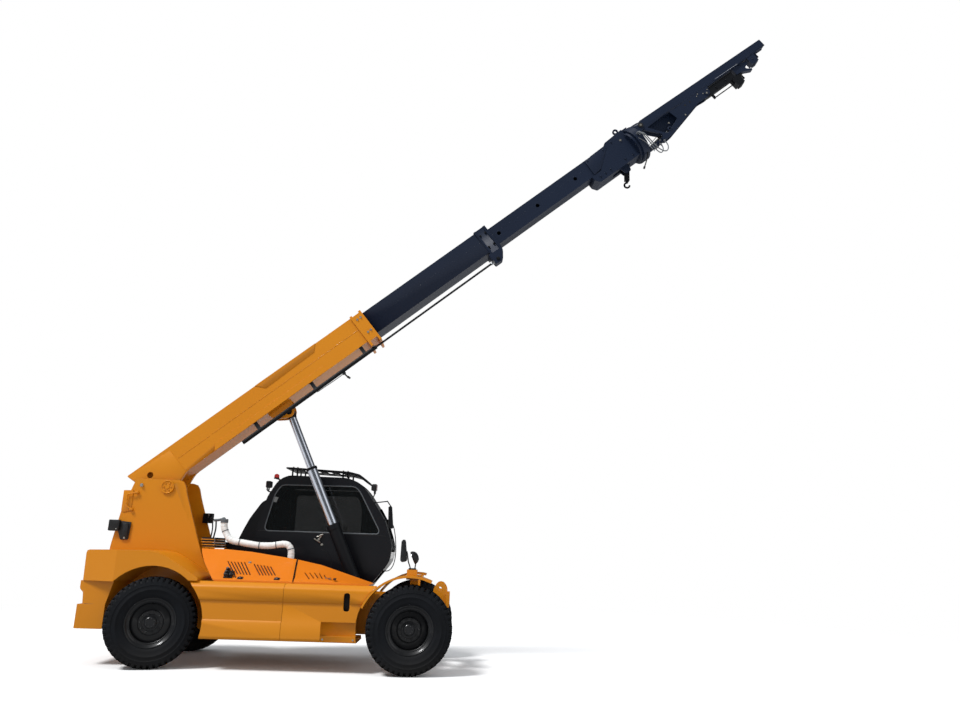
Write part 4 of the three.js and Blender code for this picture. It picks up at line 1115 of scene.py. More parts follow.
# ------------------------------------------------------------------ cylinders
@dataclass
class LiftCylinder:
    """The boom's two-stage lift cylinder, measured from its foot pin."""

    barrel_radius: float = 0.100
    stage_radius: float = 0.082
    rod_radius: float = 0.065
    barrel_end: float = 1.480
    stage_start: float = 0.840
    stage_end: float = 2.470
    rod_start: float = 1.720
    length: float = field(init=False)

    def __post_init__(self) -> None:
        """Finds the rod's eye, which sits between the boom's lugs."""
        self.length = (BOOM @ Vector(LIFT_EYE) - LIFT.translation).length

    def build(self) -> None:
        """Builds the barrel, the first stage and the rod."""
        r, end = self.barrel_radius, self.barrel_end
        bore = self.stage_radius + 0.0006
        barrel = Form(LIFT)
        barrel.turned([
            (0.130, 0.0), (0.062, 0.0), (0.062, r - 0.012), (0.074, r), (0.150, r), (end - 0.090, r),
            (end - 0.086, r + 0.006), (end - 0.006, r + 0.006), (end, r), (end, bore), (0.130, bore),
            (0.130, 0.0),
        ], sides=56)
        barrel.turned([(-0.104, 0.046), (-0.104, 0.080), (-0.098, 0.085), (0.098, 0.085), (0.104, 0.080),
                       (0.104, 0.046)], ACROSS, closed=True)
        barrel.rod((0.230, 0, r - 0.004), (0.230, 0, r + 0.030), 0.024)
        barrel.finish("lift_barrel_tube", BLACK, "lift_barrel", ["lift_barrel"])
        s, r = self.stage_end, self.stage_radius
        bore = self.rod_radius + 0.0006
        stage = Form(LIFT)
        stage.turned([
            (self.stage_start, 0.0), (self.stage_start, r - 0.004), (self.stage_start + 0.004, r),
            (s - 0.045, r),
            (s - 0.045, bore), (self.stage_start + 0.020, bore), (self.stage_start + 0.020, 0.0),
        ], sides=56)
        stage.finish("lift_stage_tube", CHROME, "lift_stage", ["lift_stage"])
        ring = Form(LIFT)
        ring.turned([(s - 0.044, bore), (s - 0.044, r + 0.004), (s - 0.038, r + 0.008),
                     (s - 0.006, r + 0.008),
                     (s, r + 0.002), (s, bore)], sides=56, closed=True)
        ring.finish("lift_stage_ring", BLACK, "lift_stage")
        eye, r = self.length, self.rod_radius
        rod = Form(LIFT)
        rod.turned([(self.rod_start, 0.0), (self.rod_start, r - 0.004), (self.rod_start + 0.004, r),
                    (eye - 0.100, r)], sides=56)
        rod.finish("lift_rod_bar", CHROME, "lift_rod", ["lift_rod"])
        head = Form(LIFT @ Matrix.Translation((eye, 0, 0)))
        head.turned([(-0.102, 0.0), (-0.102, r + 0.004), (-0.060, r + 0.010), (-0.010, r), (-0.010, 0.0)])
        head.turned([(-0.068, 0.045), (-0.068, 0.074), (-0.062, 0.080), (0.062, 0.080), (0.068, 0.074),
                     (0.068, 0.045)], ACROSS, closed=True)
        head.rod((0, -0.072, 0), (0, 0.072, 0), 0.045, rounding=0.003)
        head.finish("lift_rod_eye", BLACK, "lift_rod")


@dataclass
class TiltCylinder:
    """The jib's tilt cylinder, measured from its foot pin."""

    barrel_radius: float = 0.038
    rod_radius: float = 0.022
    barrel_end: float = 0.400
    rod_start: float = 0.260
    ports: tuple[float, float] = (0.070, 0.350)
    length: float = 0.60035

    def build(self) -> None:
        """Builds the barrel and the rod."""
        r, end, bore = self.barrel_radius, self.barrel_end, self.rod_radius + 0.0006
        barrel = Form(TILT)
        barrel.turned([(0.090, 0.0), (0.022, 0.0), (0.026, r), (end - 0.050, r), (end - 0.048, r + 0.004),
                       (end - 0.004, r + 0.004), (end, r), (end, bore), (0.090, bore), (0.090, 0.0)])
        barrel.turned([(-0.038, 0.0206), (-0.038, 0.034), (0.038, 0.034), (0.038, 0.0206)], ACROSS,
                      closed=True)
        for port in self.ports:
            barrel.rod((port, 0, r - 0.003), (port, 0, r + 0.026), 0.012)
        barrel.pipe(smooth_route([(0.350, 0, r + 0.024), (0.330, 0, r + 0.034), (0.250, 0, r + 0.030),
                                  (0.130, 0, r + 0.030), (0.090, 0, r + 0.034),
                                  (0.070, 0, r + 0.024)]), 0.006)
        barrel.finish("tilt_barrel_tube", BLACK, "tilt_barrel", ["tilt_barrel"])
        rod = Form(TILT)
        rod.turned([(self.rod_start, 0.0), (self.rod_start, self.rod_radius),
                    (self.length - 0.030, self.rod_radius)])
        rod.finish("tilt_rod_bar", CHROME, "tilt_rod", ["tilt_rod"])
        head = Form(TILT @ Matrix.Translation((self.length, 0, 0)))
        head.turned([(-0.040, 0.0), (-0.040, 0.026), (-0.010, 0.026)])
        head.turned([(-0.040, 0.019), (-0.040, 0.034), (0.040, 0.034), (0.040, 0.019)], ACROSS, closed=True)
        head.rod((0, -0.050, 0), (0, 0.050, 0), 0.0195)
        head.finish("tilt_rod_eye", BLACK, "tilt_rod")


# ------------------------------------------------------------------ cords
HEAD_HOSES = {
    "head_hose_a": [
        (10.030, -0.350, 0.265), (10.030, -0.375, 0.265), (10.032, -0.402, 0.261), (10.036, -0.425, 0.245),
        (10.042, -0.437, 0.215), (10.052, -0.436, 0.170), (10.064, -0.420, 0.110), (10.080, -0.390, 0.040),
        (10.098, -0.350, -0.040), (10.120, -0.305, -0.120), (10.150, -0.260, -0.190),
        (10.190, -0.215, -0.235),
        (10.240, -0.180, -0.248), (10.292, -0.155, -0.230), (10.334, -0.139, -0.194),
        (10.356, -0.132, -0.156),
        (10.360, -0.131, -0.128), (10.360, -0.131, -0.105),
    ],
    "head_hose_b": [
        (10.060, -0.350, 0.225), (10.060, -0.375, 0.225), (10.062, -0.401, 0.220), (10.067, -0.423, 0.203),
        (10.075, -0.435, 0.170), (10.087, -0.432, 0.120), (10.102, -0.412, 0.050), (10.122, -0.378, -0.030),
        (10.150, -0.335, -0.115), (10.190, -0.290, -0.195), (10.245, -0.245, -0.255),
        (10.310, -0.205, -0.282),
        (10.375, -0.175, -0.268), (10.430, -0.151, -0.224), (10.460, -0.136, -0.170),
        (10.470, -0.131, -0.132),
        (10.470, -0.131, -0.108), (10.470, -0.131, -0.085),
    ],
}
CAB_CABLE = [
    (3.110, 2.200), (3.137, 2.200), (3.166, 2.191), (3.195, 2.165), (3.221, 2.120), (3.245, 2.050),
    (3.265, 1.960),
    (3.280, 1.860), (3.289, 1.760), (3.291, 1.660), (3.284, 1.570), (3.266, 1.492), (3.237, 1.432),
    (3.200, 1.395),
    (3.165, 1.382), (3.135, 1.380), (3.106, 1.380),
]
CAB_CABLE_Y = 0.395


@dataclass
class Cords:
    """The hoses on the slewing head and the cable that bows out in front of the cab."""

    hose_radius: float = 0.010
    cable_radius: float = 0.007

    def lay(self, node: str, route: list[Vector], radius: float, finish: Finish, body: str) -> None:
        """Makes one cord that stands for its solid.

        Args:
            node: the solid's node.
            route: the cord's middle line in the machine's frame.
            radius: its radius.
            finish: its finish.
            body: the body both its ends are on.
        """
        length = sum((b - a).length for a, b in zip(route, route[1:]))
        cord = Form().pipe(route, radius, sides=16).finish(f"{node}_cord", finish, body, [node])

    def build(self) -> None:
        """Lays every cord."""
        for node, points in HEAD_HOSES.items():
            route = [BOOM @ p for p in smooth_route(points, 4)]
            self.lay(node, route, self.hose_radius, GREY_HOSE, "slew_head")
        points = [(x, CAB_CABLE_Y, z) for x, z in CAB_CABLE]
        route = [MACHINE @ p for p in smooth_route(points, 4)]
        self.lay("cab_cable", route, self.cable_radius, HOSE, "chassis")


# ------------------------------------------------------------------ small parts on the solids
class Surface:
    """A solid's outside, for seating small parts on it."""

    def __init__(self, node: str, frame_place: Matrix = MACHINE) -> None:
        """Takes the solid's faces.

        Args:
            node: the CAD node.
            frame_place: where the coordinates given to seat() are measured from.
        """
        part = bmesh.new()
        part.from_mesh(frame["nodes"][node].data)
        self.tree = BVHTree.FromBMesh(part)
        part.free()
        self.frame_place = frame_place

    def seat(self, start: Point, way: Point, along: Point = (1, 0, 0)) -> Matrix:
        """Finds where a ray meets the solid.

        Args:
            start: where the ray starts.
            way: the ray's way.
            along: about the way of local X.

        Returns:
            A place in the machine's frame whose local Z leaves the surface.
        """
        turn = self.frame_place.to_3x3()
        point, normal, _, _ = self.tree.ray_cast(self.frame_place @ Vector(start), turn @ Vector(way))
        if point is None:
            raise ValueError(f"no surface under {tuple(start)}")
        return axes_place(point, turn @ Vector(along), normal.cross(turn @ Vector(along)))

    def drop(self, spot: Point, height: float = 2.2) -> Matrix:
        """The place under a spot in x and y, looking down from a height."""
        return self.seat((*spot, height), (0, 0, -1))


@dataclass(frozen=True)
class Louvres:
    """A row of slanting slots: its first and last slot, each from its upper to its lower end in x and y."""

    first: tuple[Point, Point]
    last: tuple[Point, Point]
    count: int


@dataclass
class Hood:
    """A sloping side hood with louvres cut into it."""

    node: str
    rows: tuple[Louvres, ...]
    slot_width: float = 0.020
    slot_depth: float = 0.018

    def build(self) -> None:
        """Cuts the louvres, with raised lips and a near-black floor in each as painted shade, where the
        slots would be in shadow.
        """
        surface, cutter, lips, painted_shade_floors = Surface(self.node), Form(), Form(), Form()
        half, deep = self.slot_width / 2, self.slot_depth
        for row in self.rows:
            for i in range(row.count):
                share = i / (row.count - 1)
                ends = [Vector(a).lerp(Vector(b), share) for a, b in zip(row.first, row.last)]
                top, low = (surface.drop(end) for end in ends)
                way = low.translation - top.translation
                normal = top.to_3x3() @ Vector((0, 0, 1))
                place = axes_place((top.translation + low.translation) / 2, way, normal.cross(way))
                reach = way.length / 2
                cutter.block((-reach, -half, -deep), (reach, half, 0.03), place=place)
                # A near-black plate at the bottom of each slot: painted shade standing for the dark inside
                # of the louvre.
                painted_shade_floors.block((-reach + 0.001, -half + 0.001, 0.001 - deep),
                             (reach - 0.001, half - 0.001, 0.004 - deep), place=place)
                for edge, size in ((half, 0.0035), (-half, 0.0025)):
                    lips.rod((-reach, edge, 0), (reach, edge, 0), size, sides=8, place=place)
        data = carve(merged_copy(self.node), cutter)
        dress(data, f"{self.node}_shell", ORANGE, NODE_BODY[self.node], [self.node], smooth=30.0)
        lips.finish(f"{self.node}_louvre_lips", ORANGE, NODE_BODY[self.node])
        painted_shade_floors.finish(f"{self.node}_louvre_painted_shade", PAINTED_SHADE, NODE_BODY[self.node])


@dataclass
class HoodFittings:
    """Locks, latches, the twin quick coupler and the rubber between the hoods."""

    locks: tuple[Point, ...] = ((1.196, -0.644), )
    latches: tuple[Point, ...] = ((1.166, -0.968), (1.696, -0.962))
    coupler: Point = (0.985, -0.915)
    front_lock: Point = (2.423, -0.775)
    seal_start: Point = (1.846, -0.370)
    seal_slope: float = 0.090 / 0.640
    seal_points: int = 9

    def build(self) -> None:
        """Builds the fittings of both hoods."""
        rear, front = Surface("engine_hood"), Surface("front_hood")
        zinc, black, steel = Form(), Form(), Form()
        for spot in self.locks:
            place = rear.drop(spot)
            for form, profile in (
                (zinc, [(0.0, 0.024), (0.005, 0.024), (0.007, 0.021), (0.006, 0.015), (0.006, 0.0)]),
                (black, [(0.005, 0.006), (0.009, 0.005), (0.009, 0.0)]),
            ):
                form.turned(profile, place @ OUTWARD, sides=28)
        for spot in self.latches:
            place = rear.drop(spot)
            black.block((-0.042, -0.030, -0.002), (0.042, 0.030, 0.006), 0.004, place)
            black.block((-0.034, -0.020, 0.005), (0.034, 0.022, 0.012), 0.004, place)
            steel.block((-0.012, -0.024, 0.010), (0.012, 0.012, 0.024), 0.003, place)
            for x in (-0.034, 0.034):
                zinc.turned([(0.005, 0.005), (0.009, 0.004), (0.009, 0.0)],
                            place @ Matrix.Translation((x, 0, 0)) @ OUTWARD, sides=10)
        place = rear.drop(self.coupler)
        black.block((-0.062, -0.078, -0.004), (0.062, 0.078, 0.020), 0.006, place)
        black.block((-0.056, -0.070, 0.018), (0.010, 0.074, 0.070), 0.008, place)
        black.block((0.006, -0.060, 0.018), (0.058, 0.040, 0.052), 0.008, place)
        for y in (-0.034, 0.034):
            black.rod((-0.024, y, 0.068), (-0.024, y, 0.096), 0.022, sides=24, rounding=0.003, place=place)
            steel.rod((-0.024, y, 0.094), (-0.024, y, 0.102), 0.016, sides=20, place=place)
        black.pipe(smooth_route([(0.058, -0.030, 0.034), (0.085, -0.032, 0.036), (0.100, -0.044, 0.022),
                                 (0.108, -0.060, -0.004)]), 0.008, place=place)
        place = front.drop(self.front_lock)
        steel.block((-0.030, -0.016, 0.0), (0.024, 0.016, 0.010), 0.004, place)
        zinc.turned([(0.0, 0.020), (0.010, 0.020), (0.012, 0.016), (0.012, 0.0)],
                    place @ Matrix.Translation((-0.052, 0.030, 0)) @ OUTWARD, sides=24)
        zinc.turned([(0.0, 0.012), (0.016, 0.011), (0.018, 0.0)],
                    place @ Matrix.Translation((0.016, 0, 0.004)) @ OUTWARD, sides=18)
        black.block((0.060, -0.024, -0.002), (0.104, 0.020, 0.012), 0.004, place)
        zinc.finish("hood_locks", ZINC, "engine_hood")
        steel.finish("hood_latch_tongues", STEEL, "engine_hood")
        black.finish("hood_latches", TRIM, "engine_hood")
        self.seal(rear)

    def seal(self, surface: Surface) -> None:
        """Lays the dark rubber in the seam between the hoods.

        Args:
            surface: the rear hood's outside.
        """
        route = []
        first, start = self.seal_start
        for i in range(self.seal_points):
            y = -0.375 - 0.630 * i / (self.seal_points - 1)
            x = first + self.seal_slope * (start - y)
            seat = surface.drop((x - 0.010, y))
            route.append(seat.translation + Vector((0.014, 0, -0.006)))
        Form().pipe(route, 0.013, sides=12).finish("hood_seal", HOSE, "chassis")


@dataclass
class TowerFittings:
    """Pivot covers, brackets, rear lamps, cross plates and pipes on the boom tower."""

    pivot: Point = (-0.280, 2.570)
    rod_gap: float = 0.022
    cross_plates: int = 4
    near: float = field(init=False)

    def __post_init__(self) -> None:
        """Finds the outside of the tower's plates."""
        self.near = abs(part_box("boom_tower")[0].y)

    def boss(self, form: Form, side: int) -> None:
        """Adds the cover over the boom's pivot with its ring of bolts.

        Args:
            form: the cover's form.
            side: -1 for the right, 1 for the left.
        """
        centre = Vector((self.pivot[0], side * self.near, self.pivot[1]))
        place = axes_place(centre, (0, side, 0), (1, 0, 0))
        form.turned([(-0.002, 0.104), (0.012, 0.104), (0.016, 0.100), (0.016, 0.090), (0.010, 0.084),
                     (0.006, 0.080), (0.006, 0.034), (0.014, 0.030), (0.014, 0.0)], place, sides=48)
        for x, z in around(6, 0.058):
            form.bolt(centre + Vector((x, side * 0.006, z)), (0, side, 0), 0.011)

    def bracket(self, form: Form, zinc: Form, side: int) -> None:
        """Adds the plate behind the tower with its bent rod and two eyes.

        Args:
            form: the plate's form.
            zinc: the bolt's form.
            side: -1 for the right, 1 for the left.
        """
        y = side * self.near
        form.plate([(-0.949, 2.499, 0.01), (-0.800, 2.503), (-0.800, 2.190), (-0.914, 2.162, 0.01),
                    (-0.948, 2.184, 0.01)], y - side * 0.026, y - side * 0.002, 0.002)
        rod = [(-0.733, 2.468), (-0.862, 2.436), (-0.874, 2.425), (-0.872, 2.285), (-0.864, 2.262),
               (-0.790, 2.207)]
        form.pipe([(x, y + side * self.rod_gap, z) for x, z in rod], 0.010, sides=10)
        for x, z in (rod[0], rod[-1]):
            form.rod((x, y - side * 0.002, z), (x, y + side * 0.026, z), 0.026, rounding=0.003)
            form.rod((x, y + side * 0.024, z), (x, y + side * 0.034, z), 0.010)
        zinc.bolt((-0.684, y, 2.586), (0, side, 0), 0.020)

    def lamp(self, black: Form, lens: Form, zinc: Form, side: int) -> None:
        """Adds the rear lamp's box on its bracket.

        Args:
            black: the form of the box and the bracket.
            lens: the lenses' form.
            zinc: the bolts' form.
            side: -1 for the right, 1 for the left.
        """
        y = side * self.near
        black.plate([(-1.080, 2.044, 0.01), (-0.757, 2.012, 0.01), (-0.777, 1.747, 0.02),
                     (-0.894, 1.746, 0.02),
                     (-0.945, 1.873, 0.02), (-1.080, 1.874, 0.01)], y, y + side * 0.012, 0.002)
        low, high = sorted((y - side * 0.060, y + side * 0.050))
        black.block((-1.089, low, 1.876), (-0.925, high, 2.042), 0.010)
        black.block((-0.870, min(y, y + side * 0.030), 1.790), (-0.790, max(y, y + side * 0.030), 1.990),
                    0.008)
        middle = (low + high) / 2
        for z in (1.920, 1.995):
            lens.rod((-1.086, middle, z), (-1.100, middle, z), 0.030, 0.0258, sides=28, rounding=0.003)
        zinc.bolt((-0.835, y + side * 0.012, 1.775), (0, side, 0), 0.012)
        zinc.bolt((-0.960, y + side * 0.050, 1.905), (0, side, 0), 0.007)

    def build(self) -> None:
        """Builds everything on the tower."""
        yellow, zinc, black, lens, steel = (Form(MACHINE) for _ in range(5))
        for side in (-1, 1):
            self.boss(yellow, side)
            self.bracket(yellow, zinc, side)
            self.lamp(black, lens, zinc, side)
        for i in range(self.cross_plates):
            z = 1.664 + 0.040 * i
            yellow.block((0.335 - 0.008 * i, -0.300, z), (0.545 - 0.010 * i, 0.300, z + 0.014), 0.002)
            black.block((0.350 - 0.008 * i, -0.290, z + 0.014), (0.535 - 0.010 * i, 0.290, z + 0.038))
        for y in (-0.270, 0.270):
            steel.rod((0.530, y, 1.655), (0.516, y, 1.822), 0.008, sides=10)
        steel.rod((0.284, 0.200, 2.105), (0.315, 0.200, 2.105), 0.024, sides=6)
        steel.pipe(smooth_route([(0.312, 0.200, 2.105), (0.345, 0.200, 2.104), (0.362, 0.198, 2.085),
                                 (0.366, 0.196, 2.050)]), 0.013)
        for z in (2.080, 2.140, 2.180):
            steel.rod((0.240, 0.198, z), (0.240, 0.180, z), 0.016, sides=6)
        black.pipe(smooth_route([(0.366, 0.196, 2.056), (0.372, 0.190, 1.960), (0.350, 0.180, 1.800),
                                 (0.300, 0.170, 1.560), (0.300, 0.160, 1.300)]), 0.012)
        black.pipe(smooth_route([(0.240, 0.184, 2.140), (0.300, 0.140, 2.120), (0.345, 0.110, 1.980),
                                 (0.320, 0.100, 1.700), (0.290, 0.100, 1.300)]), 0.010)
        yellow.finish("tower_trim", YELLOW, "chassis")
        zinc.finish("tower_bolts", ZINC, "chassis")
        black.finish("tower_lamps_and_pipes", TRIM, "chassis")
        lens.finish("tower_lamp_lenses", RED, "chassis")
        steel.finish("tower_pipe_ends", STEEL, "chassis")


@dataclass
class AirDuct:
    """The wrapped pipe that bends round the tower's foot to the engine bay."""

    radius: float = 0.050
    lie: float = -0.302
    tape_width: float = 0.045
    bands: tuple[float, ...] = (0.14, 0.47, 0.78, 1.04, 1.30, 1.47, 1.70)

    def girth(self, distance: float) -> float:
        """Radius of the wrap at a distance along the pipe, with the turns of its tape."""
        turns = 0.0012 * math.sin(distance * 2 * math.pi / self.tape_width)
        return self.radius + turns + 0.0008 * math.sin(distance * 23)

    def build(self) -> None:
        """Builds the pipe, its bands, its foot and its elbow."""
        y = self.lie
        route = smooth_route([
            (0.632, -0.250, 2.060), (0.640, -0.252, 1.990), (0.690, -0.262, 1.880), (0.770, -0.285, 1.795),
            (0.940, y, 1.762), (1.215, y, 1.725), (1.414, y, 1.727), (1.560, y, 1.752), (1.655, y, 1.748),
            (1.716, y, 1.685), (1.729, y, 1.550), (1.729, y, 1.400), (1.729, y, 1.180),
        ], 16)
        Form(MACHINE).pipe(route, self.girth, sides=28).finish("air_duct_wrap", WRAP, "chassis",
                                                               ["air_duct"], 60.0)
        bands, distance = Form(MACHINE), 0.0
        for a, b in zip(route, route[1:]):
            step = (b - a).length
            for spot in self.bands:
                if distance <= spot < distance + step:
                    middle, way = a.lerp(b, (spot - distance) / step), (b - a).normalized()
                    bands.turned([(-0.007, self.radius - 0.002), (-0.007, self.radius + 0.003),
                                  (0.007, self.radius + 0.003), (0.007, self.radius - 0.002)],
                                 axes_place(middle, way, (0, 1, 0)), sides=28, closed=True)
            distance += step
        bands.finish("air_duct_bands", SEAL, "chassis")
        ends = Form(MACHINE)
        ends.block((1.674, -0.355, 1.151), (1.784, -0.248, 1.190), 0.006)
        ends.turned([(0.0, 0.0), (0.0, 0.058), (0.050, 0.058), (0.058, 0.050), (0.058, 0.0)],
                    axes_place((0.632, -0.250, 2.052), (0, 0, 1), (1, 0, 0)), sides=28)
        ends.pipe(smooth_route([(0.632, -0.250, 2.100), (0.622, -0.250, 2.118), (0.590, -0.250, 2.104),
                                (0.530, -0.250, 2.090), (0.472, -0.250, 2.086)]), 0.020)
        ends.finish("air_duct_ends", SEAL, "chassis")


@dataclass
class SideFittings:
    """The side cover's slot with a near-black plate behind it as painted shade, step edges and bolts."""

    step_side: float = -1.098
    step_low: float = 0.430
    edges: tuple[float, ...] = (2.470, 2.640, 2.810)

    def build(self) -> None:
        """Builds the parts along the machine's sides."""
        dark, zinc, yellow = (Form(MACHINE) for _ in range(3))
        # Near-black plate behind the side cover's slot: painted shade for the dark inside seen through it.
        dark.block((2.690, -1.036, 0.830), (2.806, -1.030, 1.116))
        dark.finish("slot_painted_shade", PAINTED_SHADE, "chassis")
        for x in self.edges:
            yellow.block((x, self.step_side, self.step_low), (x + 0.090, -1.084, 0.434), 0.001)
        for x in (2.440, 2.870):
            zinc.bolt((x, -1.082, 0.462), (0, -1, 0), 0.010)
        zinc.finish("side_bolts", ZINC, "chassis")
        yellow.finish("step_edges", YELLOW, "chassis")


@dataclass
class BoomFittings:
    """Doublers, seams, bolts and the hand lever along the boom; the sizes are half widths."""

    base_side: float = 0.229
    base_collar: float = 0.262
    mid_seam: float = 0.1888
    mid_collar: float = 0.214
    inner_seam: float = 0.1488
    inner_side: float = 0.150
    head_side: float = 0.1695
    ring_radius: float = 0.272

    def bolts(self, form: Form, spots: Iterable[Point], y: float, size: float) -> None:
        """Adds the same bolts to both sides.

        Args:
            form: the bolts' form, in boom coordinates.
            spots: (along, up) of each bolt.
            y: half the width where they sit.
            size: a head's half width.
        """
        for along, up in spots:
            for side in (-1, 1):
                form.bolt((along, side * y, up), (0, side, 0), size)

    def base(self) -> None:
        """Builds the base section's doublers, seams, bolts and lever."""
        trim, zinc, black = Form(BOOM), Form(BOOM), Form(BOOM)
        outline = [(-0.440, 0.553), (0.305, 0.503), (0.330, 0.072), (0.110, -0.020, 0.05),
                   (0.0, -0.098, 0.07),
                   (-0.100, -0.028, 0.05), (-0.345, 0.280, 0.03)]
        for side in (-1, 1):
            trim.plate(outline, side * self.base_side, side * (self.base_side + 0.009), 0.003)
        holes = Form(BOOM)
        holes.rod((-0.150, -0.30, 0.361), (-0.150, 0.30, 0.361), 0.050, sides=32)
        trim.cut(holes)
        for side in (-1, 1):
            y = side * (self.base_side + 0.001)
            for low, high, up in ((0.34, 0.93, 0.322), (0.98, 3.88, 0.325)):
                trim.rod((low, y, up), (high, y, up), 0.0035, sides=SEAM_SIDES)
        self.bolts(zinc, ((3.966, 0.473), (4.035, 0.475), (3.985, 0.189), (4.045, 0.195)), self.base_collar,
                   0.015)
        for along in (3.96, 4.04):
            for y in (-0.12, 0.12):
                zinc.bolt((along, y, 0.560), (0, 0, 1), 0.013)
        black.block((3.225, -0.215, -0.150), (3.285, -0.175, -0.116), 0.006)
        black.rod((3.254, -0.195, -0.146), (3.268, -0.185, -0.215), 0.013)
        black.rod((3.268, -0.185, -0.212), (3.285, -0.185, -0.262), 0.020, 0.016, rounding=0.004)
        black.pipe(smooth_route([(3.230, -0.195, -0.134), (3.120, -0.200, -0.138), (2.860, -0.200, -0.131),
                                 (2.720, -0.195, -0.1265)]), 0.006)
        trim.finish("boom_base_doublers", YELLOW, "boom_base")
        zinc.finish("boom_base_bolts", ZINC, "boom_base")
        black.finish("boom_base_lever", TRIM, "boom_base")

    def middle(self) -> None:
        """Builds the middle section's seams, collar bolts and rod anchor."""
        trim, dark, steel = Form(BOOM), Form(BOOM), Form(BOOM)
        for side in (-1, 1):
            y = side * self.mid_seam
            trim.rod((4.110, y, 0.348), (6.500, y, 0.348), 0.0015, sides=SEAM_SIDES)
            y = side * self.mid_collar
            for along in (6.522, 6.728):
                trim.rod((along, y, 0.075), (along, y, 0.553), 0.007, sides=SEAM_SIDES)
        self.bolts(dark, ((6.570, 0.440), (6.680, 0.440), (6.570, 0.190), (6.680, 0.190)), 0.199, 0.014)
        for along in (6.57, 6.68):
            for y in (-0.09, 0.09):
                dark.bolt((along, y, 0.558), (0, 0, 1), 0.012)
        steel.rod((6.430, -0.195, -0.085), (6.474, -0.195, -0.085), 0.030, sides=6)
        steel.rod((6.400, -0.195, -0.085), (6.432, -0.195, -0.085), 0.026, sides=24, rounding=0.003)
        dark.bolt((6.560, -0.216, -0.085), (0, -1, 0), 0.024)
        trim.finish("boom_mid_seams", NAVY, "boom_mid")
        dark.finish("boom_mid_bolts", BLACK, "boom_mid")
        steel.finish("boom_mid_rod_nut", STEEL, "boom_mid")

    def inner(self) -> None:
        """Builds the inner section's hole rings, seams and the fixed head's bolts."""
        trim, zinc = Form(BOOM), Form(BOOM)
        for side in (-1, 1):
            y = side * self.inner_seam
            trim.rod((6.760, y, 0.345), (8.880, y, 0.345), 0.0015, sides=SEAM_SIDES)
            for along in (6.886, 7.766, 8.642):
                trim.turned([(-0.002, 0.037), (-0.002, 0.048), (0.0002, 0.047), (0.0003, 0.040),
                             (0.0001, 0.037)],
                            axes_place((along, side * self.inner_side, 0.305), (0, side, 0), (1, 0, 0)),
                            sides=32,
                            closed=True)
            trim.plate([(8.960, 0.150), (9.130, 0.170), (9.480, 0.430), (9.500, 0.480), (8.990, 0.470)],
                       side * self.head_side, side * 0.176, 0.002)
        self.bolts(zinc, ((9.790, 0.400), ), self.head_side, 0.016)
        self.bolts(trim, ((9.030, 0.060), (9.150, 0.060), (9.270, 0.060), (9.030, 0.440), (9.400, 0.440),
                          (9.620, 0.060), (9.620, 0.470), (9.790, 0.040)), self.head_side, 0.015)
        for y, up in around(12, self.ring_radius, 0.5):
            if abs(y) > 0.185:
                trim.bolt((9.9095, y, HEAD_AXIS_UP + up), (-1, 0, 0), 0.014)
        trim.finish("boom_inner_trim", NAVY, "boom_inner")
        zinc.finish("boom_inner_bolts", ZINC, "boom_inner")

    def build(self) -> None:
        """Builds the fittings of every section."""
        self.base()
        self.middle()
        self.inner()


